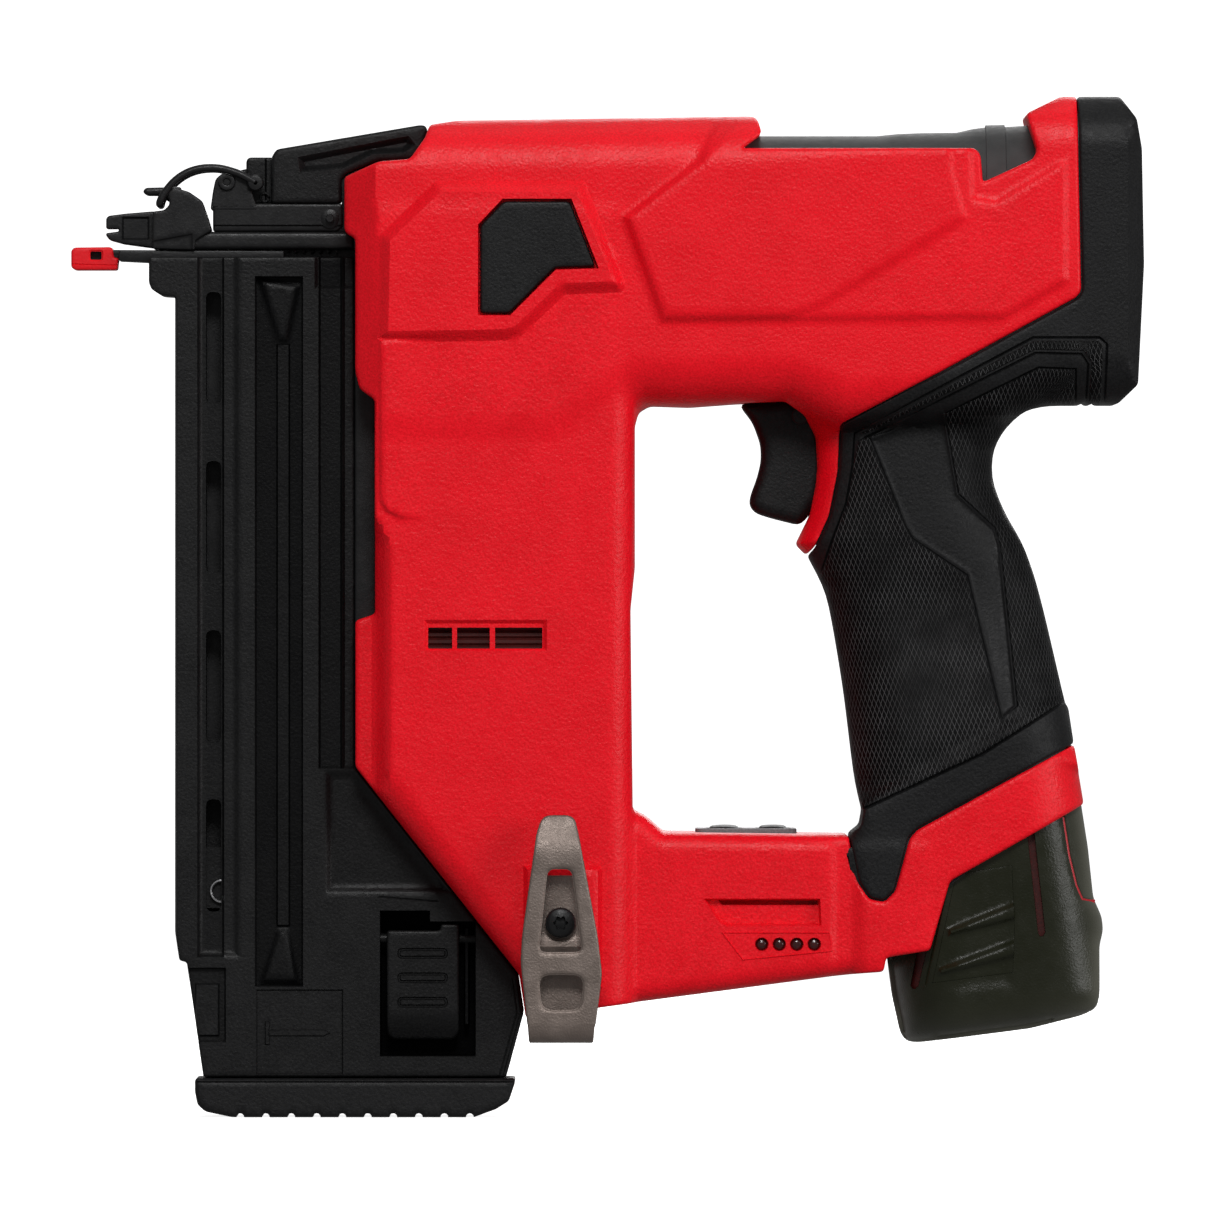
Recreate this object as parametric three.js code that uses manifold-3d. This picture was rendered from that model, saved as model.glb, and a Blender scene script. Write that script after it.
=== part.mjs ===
// A compact cordless 18-gauge brad nailer, built as separate pieces.
// Millimetres, +Z up. The origin is the centre of the foot's flat underside,
// on the tool's mid plane y = 0. The nose points along -X, the battery is at +X.

import * as THREE from 'three';
import { mergeVertices } from 'three/addons/utils/BufferGeometryUtils.js';
import Module from 'manifold-3d';

const wasm = await Module();
wasm.setup();

// ---------------------------------------------------------------- driving dimensions
const DRIVE_Z = 203;          // height of the driver's axis
const GAP = 0.3;              // clearance between pieces that touch
const WALL = 2.5;             // moulded housing wall
const SKIN = 1.8;             // rubber grip thickness
const RAKE = THREE.MathUtils.degToRad(10);
const BATTERY_ORIGIN = { x: 145.5, z: 60 };   // a point on the handle and battery axis

const COLUMN_HALF = 29;       // half widths across the tool, along Y
const BARREL_HALF = 29.5;
const HANDLE_HALF = 17.5;
const BASE_HALF = 24;
const COLLAR_HALF = 25;
const MAGAZINE_HALF = 12.5;
const FOOT_HALF = 15;
const NOSE_HALF = 7.5;

const TANK_FRONT_R = 22.4;
const TANK_REAR_R = 24.7;
const BORE_R = 14;            // cylinder bore
const PISTON_REST_X = 112;
const BLADE_TIP_X = -6;
const LIFTER = { x: 36, y: 12.9, pinCircle: 9, pinR: 1.5, pins: 6 };
const GEAR = { module: 0.6, sun: 12, planet: 12, ring: 36, z0: 150.5, z1: 160.5 };

const TRIGGER_PIVOT = { x: 103.5, z: 161 };
const LEVER_PIVOT = { x: -28.2, z: 214.7 };
const BAIL_PIVOT = { x: -21.6, z: 214.5 };
const DOOR_HINGE = { x: -4.5, z: 206.3 };
const HOOK_SCREW = { x: 48.5, z: 45 };
const LATCH_PIVOT_Z = 41;

// ---------------------------------------------------------------- solids from geometry
function toSolid(geometry) {
  const bare = geometry.index ? geometry.toNonIndexed() : geometry.clone();
  const only = new THREE.BufferGeometry();
  only.setAttribute('position', bare.getAttribute('position'));
  const merged = mergeVertices(only, 1e-4);
  const index = merged.index.array;
  const kept = [];
  for (let i = 0; i < index.length; i += 3) {
    const [a, b, c] = [index[i], index[i + 1], index[i + 2]];
    if (a !== b && b !== c && c !== a) kept.push(a, b, c);
  }
  const p = merged.getAttribute('position').array;
  if (signedVolume(p, kept) < 0) kept.reverse();
  const mesh = { numProp: 3, vertProperties: new Float32Array(p), triVerts: new Uint32Array(kept) };
  return new wasm.Manifold(new wasm.Mesh(mesh));
}

function signedVolume(p, index) {
  let sum = 0;
  for (let i = 0; i < index.length; i += 3) {
    const [a, b, c] = [3 * index[i], 3 * index[i + 1], 3 * index[i + 2]];
    sum += p[a] * (p[b + 1] * p[c + 2] - p[b + 2] * p[c + 1])
      + p[a + 1] * (p[b + 2] * p[c] - p[b] * p[c + 2])
      + p[a + 2] * (p[b] * p[c + 1] - p[b + 1] * p[c]);
  }
  return sum;
}

function toGeometry(solid) {
  const mesh = solid.getMesh();
  const geometry = new THREE.BufferGeometry();
  geometry.setAttribute('position', new THREE.BufferAttribute(mesh.vertProperties, 3));
  geometry.setIndex(new THREE.BufferAttribute(mesh.triVerts, 1));
  geometry.computeVertexNormals();
  return geometry;
}

const join = (first, ...rest) => rest.reduce((all, one) => all.add(one), first);
const cut = (first, ...rest) => rest.reduce((left, one) => left.subtract(one), first);

// A box given by its low and high corners.
function box(x0, y0, z0, x1, y1, z1) {
  const geometry = new THREE.BoxGeometry(x1 - x0, y1 - y0, z1 - z0);
  return toSolid(geometry.translate((x0 + x1) / 2, (y0 + y1) / 2, (z0 + z1) / 2));
}

// A cylinder of radius r along one axis, from s0 to s1, centred at a, b on the other two
// axes in X, Y, Z order.
function rod(axis, a, b, r, s0, s1, sides = 16) {
  const geometry = new THREE.CylinderGeometry(r, r, s1 - s0, sides).translate(0, (s0 + s1) / 2, 0);
  if (axis === 'x') geometry.rotateZ(-Math.PI / 2).translate(0, a, b);
  if (axis === 'y') geometry.translate(a, 0, b);
  if (axis === 'z') geometry.rotateX(Math.PI / 2).translate(a, b, 0);
  return toSolid(geometry);
}

const pipe = (axis, a, b, outer, inner, s0, s1, sides = 22) => cut(
  rod(axis, a, b, outer, s0, s1, sides),
  rod(axis, a, b, inner, s0 - 1, s1 + 1, sides),
);

function shapeOf(points) {
  return new THREE.Shape(points.map(([a, b]) => new THREE.Vector2(a, b)));
}

// A side outline (x, z) extruded across the tool from y0 to y1.
function slab(outline, y0, y1) {
  const options = { depth: y1 - y0, bevelEnabled: false };
  const geometry = new THREE.ExtrudeGeometry(shapeOf(outline), options);
  return toSolid(geometry.rotateX(Math.PI / 2).translate(0, y1, 0));
}

const midSlab = (outline, half) => slab(outline, -half, half);

// Moves each edge of an outline outwards by d (inwards when d is negative).
function offset(points, d) {
  const area = points.reduce((sum, [x, z], i) => {
    const [x1, z1] = points[(i + 1) % points.length];
    return sum + x * z1 - x1 * z;
  }, 0);
  const turn = area > 0 ? d : -d;
  return points.map((p, i) => {
    const before = edge(points[(i + points.length - 1) % points.length], p);
    const after = edge(p, points[(i + 1) % points.length]);
    const k = turn / (1 + before.x * after.x + before.z * after.z);
    return [p[0] + k * (before.z + after.z), p[1] - k * (before.x + after.x)];
  });
}

function edge([x0, z0], [x1, z1]) {
  const length = Math.hypot(x1 - x0, z1 - z0);
  return { x: (x1 - x0) / length, z: (z1 - z0) / length };
}

// A rounded rectangle from lo to hi by -half to half, as points.
function ring(lo, hi, half, radius, steps = 2) {
  const r = Math.max(0.4, Math.min(radius, half * 0.98, (hi - lo) * 0.49));
  const corners = [[hi - r, half - r], [lo + r, half - r], [lo + r, r - half], [hi - r, r - half]];
  return corners.flatMap(([a, b], corner) => Array.from({ length: steps + 1 }, (_, i) => {
    const angle = (corner + i / steps) * Math.PI / 2;
    return [a + r * Math.cos(angle), b + r * Math.sin(angle)];
  }));
}

// A body whose section is a rounded rectangle that changes along X or Z. Each station is
// [place along the axis, low, high, half width across the tool, corner radius].
function loft(axis, stations, inset = 0) {
  const last = stations.length - 1;
  const rings = stations.map(([s, lo, hi, half, radius], i) => {
    const place = s + (i === 0 ? inset : 0) - (i === last ? inset : 0);
    return ring(lo + inset, hi - inset, half - inset, radius - inset).map(([a, y]) => (
      axis === 'z' ? [a, y, place] : [place, y, a]
    ));
  });
  const count = rings[0].length;
  const points = rings.flat();
  const index = [];
  for (let i = 0; i < last; i += 1) {
    for (let k = 0; k < count; k += 1) {
      const [a, b] = [i * count + k, i * count + (k + 1) % count];
      index.push(a, b, b + count, a, b + count, a + count);
    }
  }
  for (let k = 1; k < count - 1; k += 1) {
    const top = last * count;
    index.push(0, k + 1, k, top, top + k, top + k + 1);
  }
  const geometry = new THREE.BufferGeometry();
  geometry.setAttribute('position', new THREE.Float32BufferAttribute(points.flat(), 3));
  geometry.setIndex(index);
  return geometry;
}

const loftSolid = (axis, stations, inset) => toSolid(loft(axis, stations, inset));

// From the battery's own upright frame (u back, v up) to the leaning one.
const RAKED = new THREE.Matrix4()
  .makeTranslation(BATTERY_ORIGIN.x, 0, BATTERY_ORIGIN.z)
  .multiply(new THREE.Matrix4().makeRotationY(-RAKE));

const rakedLoft = (stations, inset) => toSolid(loft('z', stations, inset).applyMatrix4(RAKED));

// A round bar along a smooth curve.
function wire(points, radius, steps, sides) {
  const curve = new THREE.CatmullRomCurve3(points.map((p) => new THREE.Vector3(...p)));
  return bar(curve, radius, steps, sides);
}

function bar(curve, radius, steps, sides) {
  const section = new THREE.Shape();
  for (let i = 0; i < sides; i += 1) {
    const angle = 2 * Math.PI * i / sides;
    const [a, b] = [radius * Math.cos(angle), radius * Math.sin(angle)];
    if (i === 0) section.moveTo(a, b);
    else section.lineTo(a, b);
  }
  return new THREE.ExtrudeGeometry(section, { extrudePath: curve, steps, bevelEnabled: false });
}

// A compression spring: centre line from one point to another, coil radius, wire radius.
class Helix extends THREE.Curve {
  constructor(length, radius, turns) {
    super();
    Object.assign(this, { length, radius, turns });
  }

  getPoint(t, target = new THREE.Vector3()) {
    const angle = 2 * Math.PI * this.turns * t;
    return target.set(this.radius * Math.cos(angle), this.radius * Math.sin(angle), this.length * t);
  }
}

function spring(length, radius, wireRadius, turns) {
  return bar(new Helix(length, radius, turns), wireRadius, turns * 7, 4);
}

// ---------------------------------------------------------------- outlines, x then z
const GRIP_OUTLINE = [
  [166.5, 240], [190, 240], [190, 160], [170, 148], [163, 132], [172, 84.5], [166, 85.5],
  [151, 77.5], [130, 66], [128, 61.5], [125, 52], [121, 49.3], [117, 52.5], [114.5, 64.8],
  [110, 67], [100, 127], [105, 129], [110, 138], [112.2, 148], [112.5, 159], [136.5, 171.5],
  [167.4, 188.2],
];
const COLLAR_OUTLINE = [
  [100, 90], [118, 30], [124, 33.5], [133.2, 38.5], [137.2, 53.8], [168.6, 72], [176, 74],
  [176, 100],
];
const PAD_OUTLINE = [
  [30.5, 205], [35.5, 210], [51, 210], [56.3, 195.2], [47.8, 195.2], [37.3, 184.5], [30.5, 184.5],
];
const TRIGGER_OUTLINE = [
  [90.5, 163], [93, 159], [94.6, 153], [94.4, 149], [92.2, 142.8], [92, 140], [93.5, 138.5],
  [97, 137.5], [103.7, 135.6], [108, 141], [109.5, 150], [108.5, 160], [106.5, 163.6], [102, 165],
  [96, 164.6],
];
const MAGAZINE_OUTLINE = [
  [-46, 197.4], [-46, 191.5], [-43, 188.5], [-40, 188.5], [-40, 42.5], [-39, 36], [-37, 35],
  [-33.5, 9.3], [36, 9.3], [40, 24], [38.7, 32.4], [1.1, 80.2], [1.1, 197.4],
];
const LEVER_TAIL = [
  [-18, 210.2], [-18, 220.3], [-16.8, 222.2], [16.3, 227.8], [17.4, 227.4], [17, 226],
  [14.2, 221.4], [13, 220.4], [6.4, 219.9], [-1.8, 216.2], [-2.4, 215], [-2.4, 210.5],
];

// ---------------------------------------------------------------- outer form of the housing
const COLUMN_FORM = [
  [25, 41, 66, COLUMN_HALF, 8], [33, 39.3, 65.5, COLUMN_HALF, 8], [80.5, 1.5, 65, COLUMN_HALF, 8],
  [114, 1.5, 65, COLUMN_HALF, 8], [115.5, 6, 65, COLUMN_HALF, 8], [165, 6, 65.5, COLUMN_HALF, 8],
  [171, 1.5, 66, COLUMN_HALF, 8], [203, 1.5, 66, COLUMN_HALF, 8], [203.4, -1, 66, COLUMN_HALF, 8],
  [215.5, -1, 66, COLUMN_HALF - 1, 8], [219, 7, 66, COLUMN_HALF - 2, 8],
  [219.6, 14, 66, COLUMN_HALF - 2, 8], [227.5, 18.5, 66, COLUMN_HALF - 7, 8],
  [228.8, 22, 66, COLUMN_HALF - 10, 8],
];
const BARREL_FORM = [
  [55, 163, 229, BARREL_HALF - 1, 10], [93.5, 163.2, 229.5, BARREL_HALF, 12],
  [93.9, 163.2, 222, BARREL_HALF, 7], [143.5, 163.3, 222, BARREL_HALF, 7],
  [144.2, 163.3, 214.5, BARREL_HALF, 6], [156.5, 163.4, 219.5, BARREL_HALF, 10],
  [157, 163.4, 229, BARREL_HALF, 14], [163, 163.5, 234, BARREL_HALF, 16],
  [176.5, 163.6, 234, BARREL_HALF, 16], [180.3, 170, 228.5, BARREL_HALF - 5, 14],
  [182, 174, 224, BARREL_HALF - 9, 12],
];
const HANDLE_FORM = [
  [78, 116, 167.2, 20, 14], [85.5, 115, 166, 18.5, 14], [98, 113.4, 163.5, HANDLE_HALF, 14],
  [115, 110.7, 159.4, HANDLE_HALF, 14], [123.5, 108.3, 157.3, HANDLE_HALF, 14],
  [129, 105.2, 155.6, HANDLE_HALF, 13], [132, 102.4, 154.4, HANDLE_HALF, 12],
  [134, 102.8, 153, HANDLE_HALF, 12], [139, 105.4, 150.4, HANDLE_HALF, 12],
  [146, 107.2, 147.4, 18, 12], [153.5, 107.2, 147.6, 19, 12], [158.5, 106.2, 150.8, 20.5, 11],
  [163.6, 104, 158.5, 22, 10], [172, 101, 168, 23, 10],
];
const COLLAR_FORM = [
  [-24, -26.3, 24.8, COLLAR_HALF, 9], [12, -26.3, 24.8, COLLAR_HALF, 10],
  [22, -26, 24.6, 20, 13],
];
const BASE_FORM = [
  [41, 22.8, 62, BASE_HALF, 4], [57.5, 25.5, 68, BASE_HALF, 4], [66, 26.6, 70, BASE_HALF, 4],
  [72, 27.4, 65.5, BASE_HALF, 4], [112, 32.6, 65, BASE_HALF, 4], [122, 33.2, 66, BASE_HALF, 4],
  [129, 36, 66, BASE_HALF, 4],
];

function outerForm(inset = 0) {
  const collar = rakedLoft(COLLAR_FORM, inset).intersect(midSlab(offset(COLLAR_OUTLINE, -inset), 40));
  return join(
    loftSolid('z', COLUMN_FORM, inset),
    loftSolid('x', BARREL_FORM, inset),
    loftSolid('z', HANDLE_FORM, inset),
    loftSolid('x', BASE_FORM, inset),
    collar,
  );
}

// The layer under the rubber: the rear of the form, thinner by the skin.
function gripCore(inset) {
  const collar = rakedLoft(COLLAR_FORM, inset).intersect(midSlab(offset(COLLAR_OUTLINE, -inset), 40));
  const barrel = loftSolid('x', BARREL_FORM, inset);
  const handle = loftSolid('z', HANDLE_FORM, 0).intersect(loftSolid('z', HANDLE_FORM.map(
    ([s, lo, hi, half, r]) => [s, lo + inset, hi - inset, half - inset, r - inset],
  ), 0));
  return join(barrel, handle, loftSolid('x', BASE_FORM, inset), collar);
}

// ---------------------------------------------------------------- hollow inside the housing
function cavity() {
  const column = loftSolid('z', [
    [30, 43, 62.5, COLUMN_HALF - WALL, 6], [84, 4.2, 62.5, COLUMN_HALF - WALL, 6],
    [112, 4.2, 62.5, COLUMN_HALF - WALL, 6], [118, 8.6, 62.5, COLUMN_HALF - WALL, 6],
    [163, 8.6, 62.5, COLUMN_HALF - WALL, 6], [173, 4.2, 62.5, COLUMN_HALF - WALL, 6],
    [215, 4.2, 62.5, COLUMN_HALF - 4, 6], [219, 18, 62.5, COLUMN_HALF - 8, 6],
    [226.2, 22.5, 62.5, COLUMN_HALF - 14, 6],
  ]);
  const inner = BARREL_HALF - WALL;
  const barrel = loftSolid('x', [
    [58, 166, 226.4, inner - 1, 8], [91, 166, 226.4, inner - 1, 10], [91.4, 166, 217, inner, 5],
    [154, 166, 210, inner, 5], [163, 168, 210, inner, 5], [164, 168, 229, inner - 3, 14],
    [176, 169, 229, inner - 3, 14],
  ]);
  const deep = SKIN + GAP + WALL;
  const handle = loftSolid('z', HANDLE_FORM.map(
    ([s, lo, hi, half, r]) => [s, lo + deep, hi - deep, half - deep, r - deep],
  ));
  const base = loftSolid('x', [
    [58, 30, 62, BASE_HALF - WALL, 3], [110, 35.2, 62, BASE_HALF - WALL, 3],
    [114.5, 36, 62, BASE_HALF - WALL, 3],
  ]);
  const bay = rakedLoft([[-60, -25, 23.1, 22.6, 8], [7.2, -25, 23.1, 22.6, 8]]);
  const throat = rakedLoft([[5, -20.6, 19.8, 13.4, 9], [30, -20.6, 19.6, 12.9, 9]]);
  const tank = join(
    rod('x', 0, DRIVE_Z, TANK_FRONT_R + 0.5, 49, 136, 32),
    rod('x', 0, DRIVE_Z, TANK_REAR_R + 0.6, 133, 166.5, 32),
  );
  return join(column, barrel, handle, base, bay, throat, tank);
}

const SCREWS = [
  { x: 11, z: 184, depth: COLUMN_HALF }, { x: 58.5, z: 148, depth: COLUMN_HALF },
  { x: 58.5, z: 88, depth: COLUMN_HALF }, { x: 72, z: 36, depth: BASE_HALF },
  { x: 148, z: 172, depth: BARREL_HALF },
];
const SCREW = { headR: 3.2, headH: 2.4, shankR: 1.5, sink: 3, tipY: -12 };

// Bosses that tie each half to the parting plane, and the trigger's bearing bosses.
function bosses() {
  const pillars = SCREWS.map(({ x, z, depth }) => rod('y', x, z, 4.2, -depth, depth, 14));
  const { x, z } = TRIGGER_PIVOT;
  return join(...pillars, rod('y', x, z, 4.4, -22, -7.3, 14), rod('y', x, z, 4.4, 7.3, 22, 14));
}

// Blocks behind the side pads and behind the hook.
function backing() {
  const side = (sign) => box(26, Math.min(sign * 28.5, sign * 24.2), 182, 60,
    Math.max(sign * 28.5, sign * 24.2), 213);
  const seat = (sign) => rod('y', HOOK_SCREW.x, HOOK_SCREW.z, 6.5,
    Math.min(sign * 28, sign * 18), Math.max(sign * 28, sign * 18), 24);
  return join(side(-1), side(1), seat(-1), seat(1));
}

function screwHoles() {
  const holes = SCREWS.map(({ x, z, depth }) => join(
    rod('y', x, z, SCREW.shankR + GAP, SCREW.tipY - 1, depth + 1, 16),
    rod('y', x, z, SCREW.headR + GAP, depth - SCREW.sink - SCREW.headH - GAP, depth + 1, 14),
  ));
  return join(...holes);
}

// Openings through the walls: the nose, the trigger, the vents, the gauge and the pockets.
function wallOpenings() {
  const vents = [0, 1, 2].flatMap((i) => [-1, 1].map((sign) => box(
    18 + 9 * i, Math.min(sign * 20, sign * 32), 107.5,
    18 + 9 * i + 8, Math.max(sign * 20, sign * 32), 112.5,
  )));
  const pads = [-1, 1].map((sign) => slab(offset(PAD_OUTLINE, 0.8),
    Math.min(sign * 27, sign * 32), Math.max(sign * 27, sign * 32)));
  const { x, z } = TRIGGER_PIVOT;
  return join(
    box(-3, -9.6, 196.4, 6, 9.6, 209.2),
    box(-3, -5.4, 164.2, 6, 5.4, 198),
    box(86, -6.9, 134, 110, 6.9, 165.6),
    box(98, -6.9, 140, 116, 6.9, 168),
    rod('y', x, z, 2.3, -11, 11, 14),
    box(79, -11.5, 60, 103, 11.5, 70),
    ...[0, 1, 2, 3].map((i) => rod('y', 94.5 + 4 * i, 39.9, 1.7, -26, -20, 16)),
    rod('y', HOOK_SCREW.x, HOOK_SCREW.z, 2.3, -32, -17, 16),
    ...vents,
    ...pads,
  );
}

// A flat seat stands out from each side of the column for the belt hook.
function hookSeats() {
  const outline = [[40.5, 30], [57, 30], [55.5, 58], [42.5, 58]];
  return join(slab(outline, -COLUMN_HALF - 2, -20), slab(outline, 20, COLUMN_HALF + 2));
}

function housing() {
  const form = outerForm();
  const red = form.subtract(midSlab(offset(GRIP_OUTLINE, GAP), 60));
  const core = gripCore(SKIN + GAP).intersect(form);
  const hollow = cavity().subtract(bosses()).subtract(backing());
  return join(red, core, hookSeats()).subtract(hollow).subtract(screwHoles())
    .subtract(wallOpenings());
}

function gripSkin(underneath) {
  return outerForm().intersect(midSlab(GRIP_OUTLINE, 60)).subtract(gripCore(SKIN))
    .subtract(cavity()).subtract(screwHoles()).subtract(wallOpenings()).subtract(underneath);
}

const LEFT = () => box(-80, -60, -10, 200, -GAP / 2, 250);
const RIGHT = () => box(-80, GAP / 2, -10, 200, 60, 250);

const sidePad = (sign) => slab(PAD_OUTLINE, Math.min(sign * 27.3, sign * 29.2),
  Math.max(sign * 27.3, sign * 29.2));

function housingScrew({ x, z, depth }) {
  const under = depth - SCREW.sink - SCREW.headH;
  return cut(
    join(
      rod('y', x, z, SCREW.shankR, SCREW.tipY, under + 0.5, 12),
      rod('y', x, z, SCREW.headR, under, under + SCREW.headH, 14),
    ),
    rod('y', x, z, 1.3, under + SCREW.headH - 1.4, under + SCREW.headH + 1, 6),
  );
}

// ---------------------------------------------------------------- air cylinder
function cylinderTank() {
  const outside = [
    [0, 50.5], [TANK_FRONT_R, 50.5], [TANK_FRONT_R, 134], [TANK_REAR_R - 0.7, 144],
    [TANK_REAR_R, 156], [TANK_REAR_R, 163], [TANK_REAR_R - 3, 166], [0, 166],
  ];
  const inside = [[0, 49], [TANK_FRONT_R - 1.6, 49], [TANK_FRONT_R - 1.6, 160], [17, 164], [0, 164]];
  const turned = (profile) => toSolid(new THREE.LatheGeometry(
    profile.map(([r, x]) => new THREE.Vector2(r, x)), 32,
  ).rotateZ(-Math.PI / 2).translate(0, 0, DRIVE_Z));
  return cut(turned(outside), turned(inside), rod('x', 0, DRIVE_Z, 4.3, 160, 170, 14));
}

const cylinderLiner = () => pipe('x', 0, DRIVE_Z, 15.6, BORE_R, 50.8, 126, 24);
const pistonBumper = () => pipe('x', 0, DRIVE_Z, 13.4, 7.2, 50.8, 57, 22);
const fillValve = () => join(
  rod('x', 0, DRIVE_Z, 4, 158, 168, 14),
  rod('x', 0, DRIVE_Z, 6, 166.3, 169, 6),
);

function piston() {
  const body = join(
    rod('x', 0, DRIVE_Z, 13.3, PISTON_REST_X - 2, PISTON_REST_X + 1, 24),
    rod('x', 0, DRIVE_Z, 12.2, PISTON_REST_X - 1, PISTON_REST_X + 5, 24),
    rod('x', 0, DRIVE_Z, 13.3, PISTON_REST_X + 4.5, PISTON_REST_X + 7, 24),
  );
  return cut(body, box(PISTON_REST_X - 5, -2.6, DRIVE_Z - 1.6, PISTON_REST_X + 2, 2.6, DRIVE_Z + 1.6));
}

const pistonSeal = () => pipe('x', 0, DRIVE_Z, 13.7, 12.5, PISTON_REST_X + 1.5, PISTON_REST_X + 4, 24);

// The driver blade: a narrow tip, a flat body and rack teeth on its +Y edge.
const TOOTH_PITCH = LIFTER.pinCircle * Math.PI / 3;
const TOOTH_GAP = 5;
function driverBlade() {
  const [low, high] = [DRIVE_Z - 1.2, DRIVE_Z + 1.2];
  const body = join(
    box(BLADE_TIP_X, -1, DRIVE_Z - 0.7, 12, 1, DRIVE_Z + 0.7),
    box(9, -2.2, low, PISTON_REST_X + 1.5, 2.2, high),
  );
  const teeth = Array.from({ length: 7 }, (_, i) => {
    const centre = LIFTER.x + (i - 0.5) * TOOTH_PITCH;
    const half = (TOOTH_PITCH - TOOTH_GAP) / 2;
    return box(centre - half, 1.8, low, centre + half, 5, high);
  });
  return join(body, ...teeth);
}

// ---------------------------------------------------------------- lifter, gears and motor
function gearOutline(teeth, outward) {
  const pitchR = GEAR.module * teeth / 2;
  const tipR = pitchR + outward * GEAR.module * 0.8;
  const rootR = pitchR - outward * GEAR.module * 1.15;
  const step = 2 * Math.PI / teeth;
  return Array.from({ length: teeth }, (_, i) => [
    [rootR, -0.27], [tipR, -0.13], [tipR, 0.13], [rootR, 0.27],
  ].map(([r, share]) => {
    const angle = (i + share) * step;
    return [r * Math.cos(angle), r * Math.sin(angle)];
  })).flat();
}

function gearSolid(teeth, outward, z0, z1, turn, x, y) {
  const shape = shapeOf(gearOutline(teeth, outward));
  const geometry = new THREE.ExtrudeGeometry(shape, { depth: z1 - z0, bevelEnabled: false });
  return toSolid(geometry.rotateZ(turn).translate(x, y, z0));
}

const PLANET_ORBIT = GEAR.module * (GEAR.sun + GEAR.planet) / 2;
const planetPlace = (i) => {
  const angle = 2 * Math.PI * i / 3;
  return [LIFTER.x + PLANET_ORBIT * Math.cos(angle), LIFTER.y + PLANET_ORBIT * Math.sin(angle)];
};

function planetGear(i) {
  const [x, y] = planetPlace(i);
  const turn = 2 * Math.PI * i / 3 + Math.PI / GEAR.planet;
  return cut(
    gearSolid(GEAR.planet, 1, GEAR.z0 + 0.4, GEAR.z1 - 0.2, turn, x, y),
    rod('z', x, y, 1.6, GEAR.z0 - 1, GEAR.z1 + 1, 16),
  );
}

function ringGear() {
  const outer = rod('z', LIFTER.x, LIFTER.y, 13.2, GEAR.z0 - 2.5, GEAR.z1 + 8, 24);
  const teeth = gearSolid(GEAR.ring, -1, GEAR.z0 - 4, GEAR.z1 + 0.2, 0, LIFTER.x, LIFTER.y);
  return cut(outer, teeth, rod('z', LIFTER.x, LIFTER.y, 11.9, GEAR.z1, GEAR.z1 + 9, 24));
}

// The lifter wheel with its pins, its shaft and the planet carrier in one piece.
function lifterWheel() {
  const { x, y, pinCircle, pinR, pins } = LIFTER;
  const studs = Array.from({ length: pins }, (_, i) => {
    const angle = -Math.PI / 2 + 2 * Math.PI * i / pins;
    const [px, py] = [x + pinCircle * Math.cos(angle), y + pinCircle * Math.sin(angle)];
    return rod('z', px, py, pinR, DRIVE_Z - 4, DRIVE_Z + 4, 10);
  });
  const carrierPins = [0, 1, 2].map((i) => rod('z', ...planetPlace(i), 1.4, GEAR.z0 + 1, 163, 8));
  return join(
    rod('z', x, y, 3, 161.5, 213.5, 16),
    rod('z', x, y, 11, DRIVE_Z - 6.5, DRIVE_Z - 3.6, 22),
    rod('z', x, y, 11, DRIVE_Z + 3.6, DRIVE_Z + 5.4, 22),
    rod('z', x, y, 9.6, 161, 164.5, 22),
    ...studs,
    ...carrierPins,
  );
}

function motorRotor() {
  const { x, y } = LIFTER;
  return join(
    rod('z', x, y, 1.5, 101, GEAR.z0 + 1, 16),
    rod('z', x, y, 6.6, 119, 143, 18),
    gearSolid(GEAR.sun, 1, GEAR.z0, GEAR.z1 - 0.5, 0, x, y),
  );
}

function motorStator() {
  const { x, y } = LIFTER;
  const slots = Array.from({ length: 6 }, (_, i) => {
    const angle = Math.PI * i / 3;
    return rod('z', x + 9.6 * Math.cos(angle), y + 9.6 * Math.sin(angle), 1.5, 110, 150, 8);
  });
  return cut(pipe('z', x, y, 13, 7.1, 118.5, 144, 24), ...slots);
}

function motorEndCap() {
  const { x, y } = LIFTER;
  return cut(pipe('z', x, y, 13, 1.9, 114.5, 118.1, 22), rod('z', x, y, 11, 113, 116.2, 22));
}

function coolingFan() {
  const { x, y } = LIFTER;
  const blades = Array.from({ length: 7 }, (_, i) => {
    const blade = new THREE.BoxGeometry(7.4, 0.9, 7).translate(7.6, 0, 108.6);
    return toSolid(blade.rotateZ(2 * Math.PI * i / 7).translate(x, y, 0));
  });
  const hub = pipe('z', x, y, 4.6, 1.6, 104, 112.4, 16);
  return join(hub, pipe('z', x, y, 11.6, 1.6, 104, 105.4, 22), ...blades);
}

const lifterBearing = (z0, z1) => pipe('z', LIFTER.x, LIFTER.y, 7.5, 3.2, z0, z1, 18);

// The cast frame that holds the nose, the cylinder and the lifter.
function driveFrame() {
  const { x, y } = LIFTER;
  const block = join(
    box(20.4, -12, 190, 49, 23.9, 216),
    rod('x', 0, DRIVE_Z, 20.4, 46, 50.2, 24),
    rod('z', x, y, 11, 172, 190, 22),
  );
  return cut(
    block,
    rod('z', x, y, 11.8, DRIVE_Z - 7.2, DRIVE_Z + 6.2, 22),
    rod('z', x, y, 3.6, 160, 220, 16),
    rod('z', x, y, 7.8, 171, 181, 18),
    rod('z', x, y, 7.8, 210.6, 220, 18),
    box(10, -2.7, DRIVE_Z - 1.6, 60, 5.5, DRIVE_Z + 1.6),
    box(24, 12.9, DRIVE_Z - 5, 48, 30, DRIVE_Z + 5),
  );
}

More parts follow.
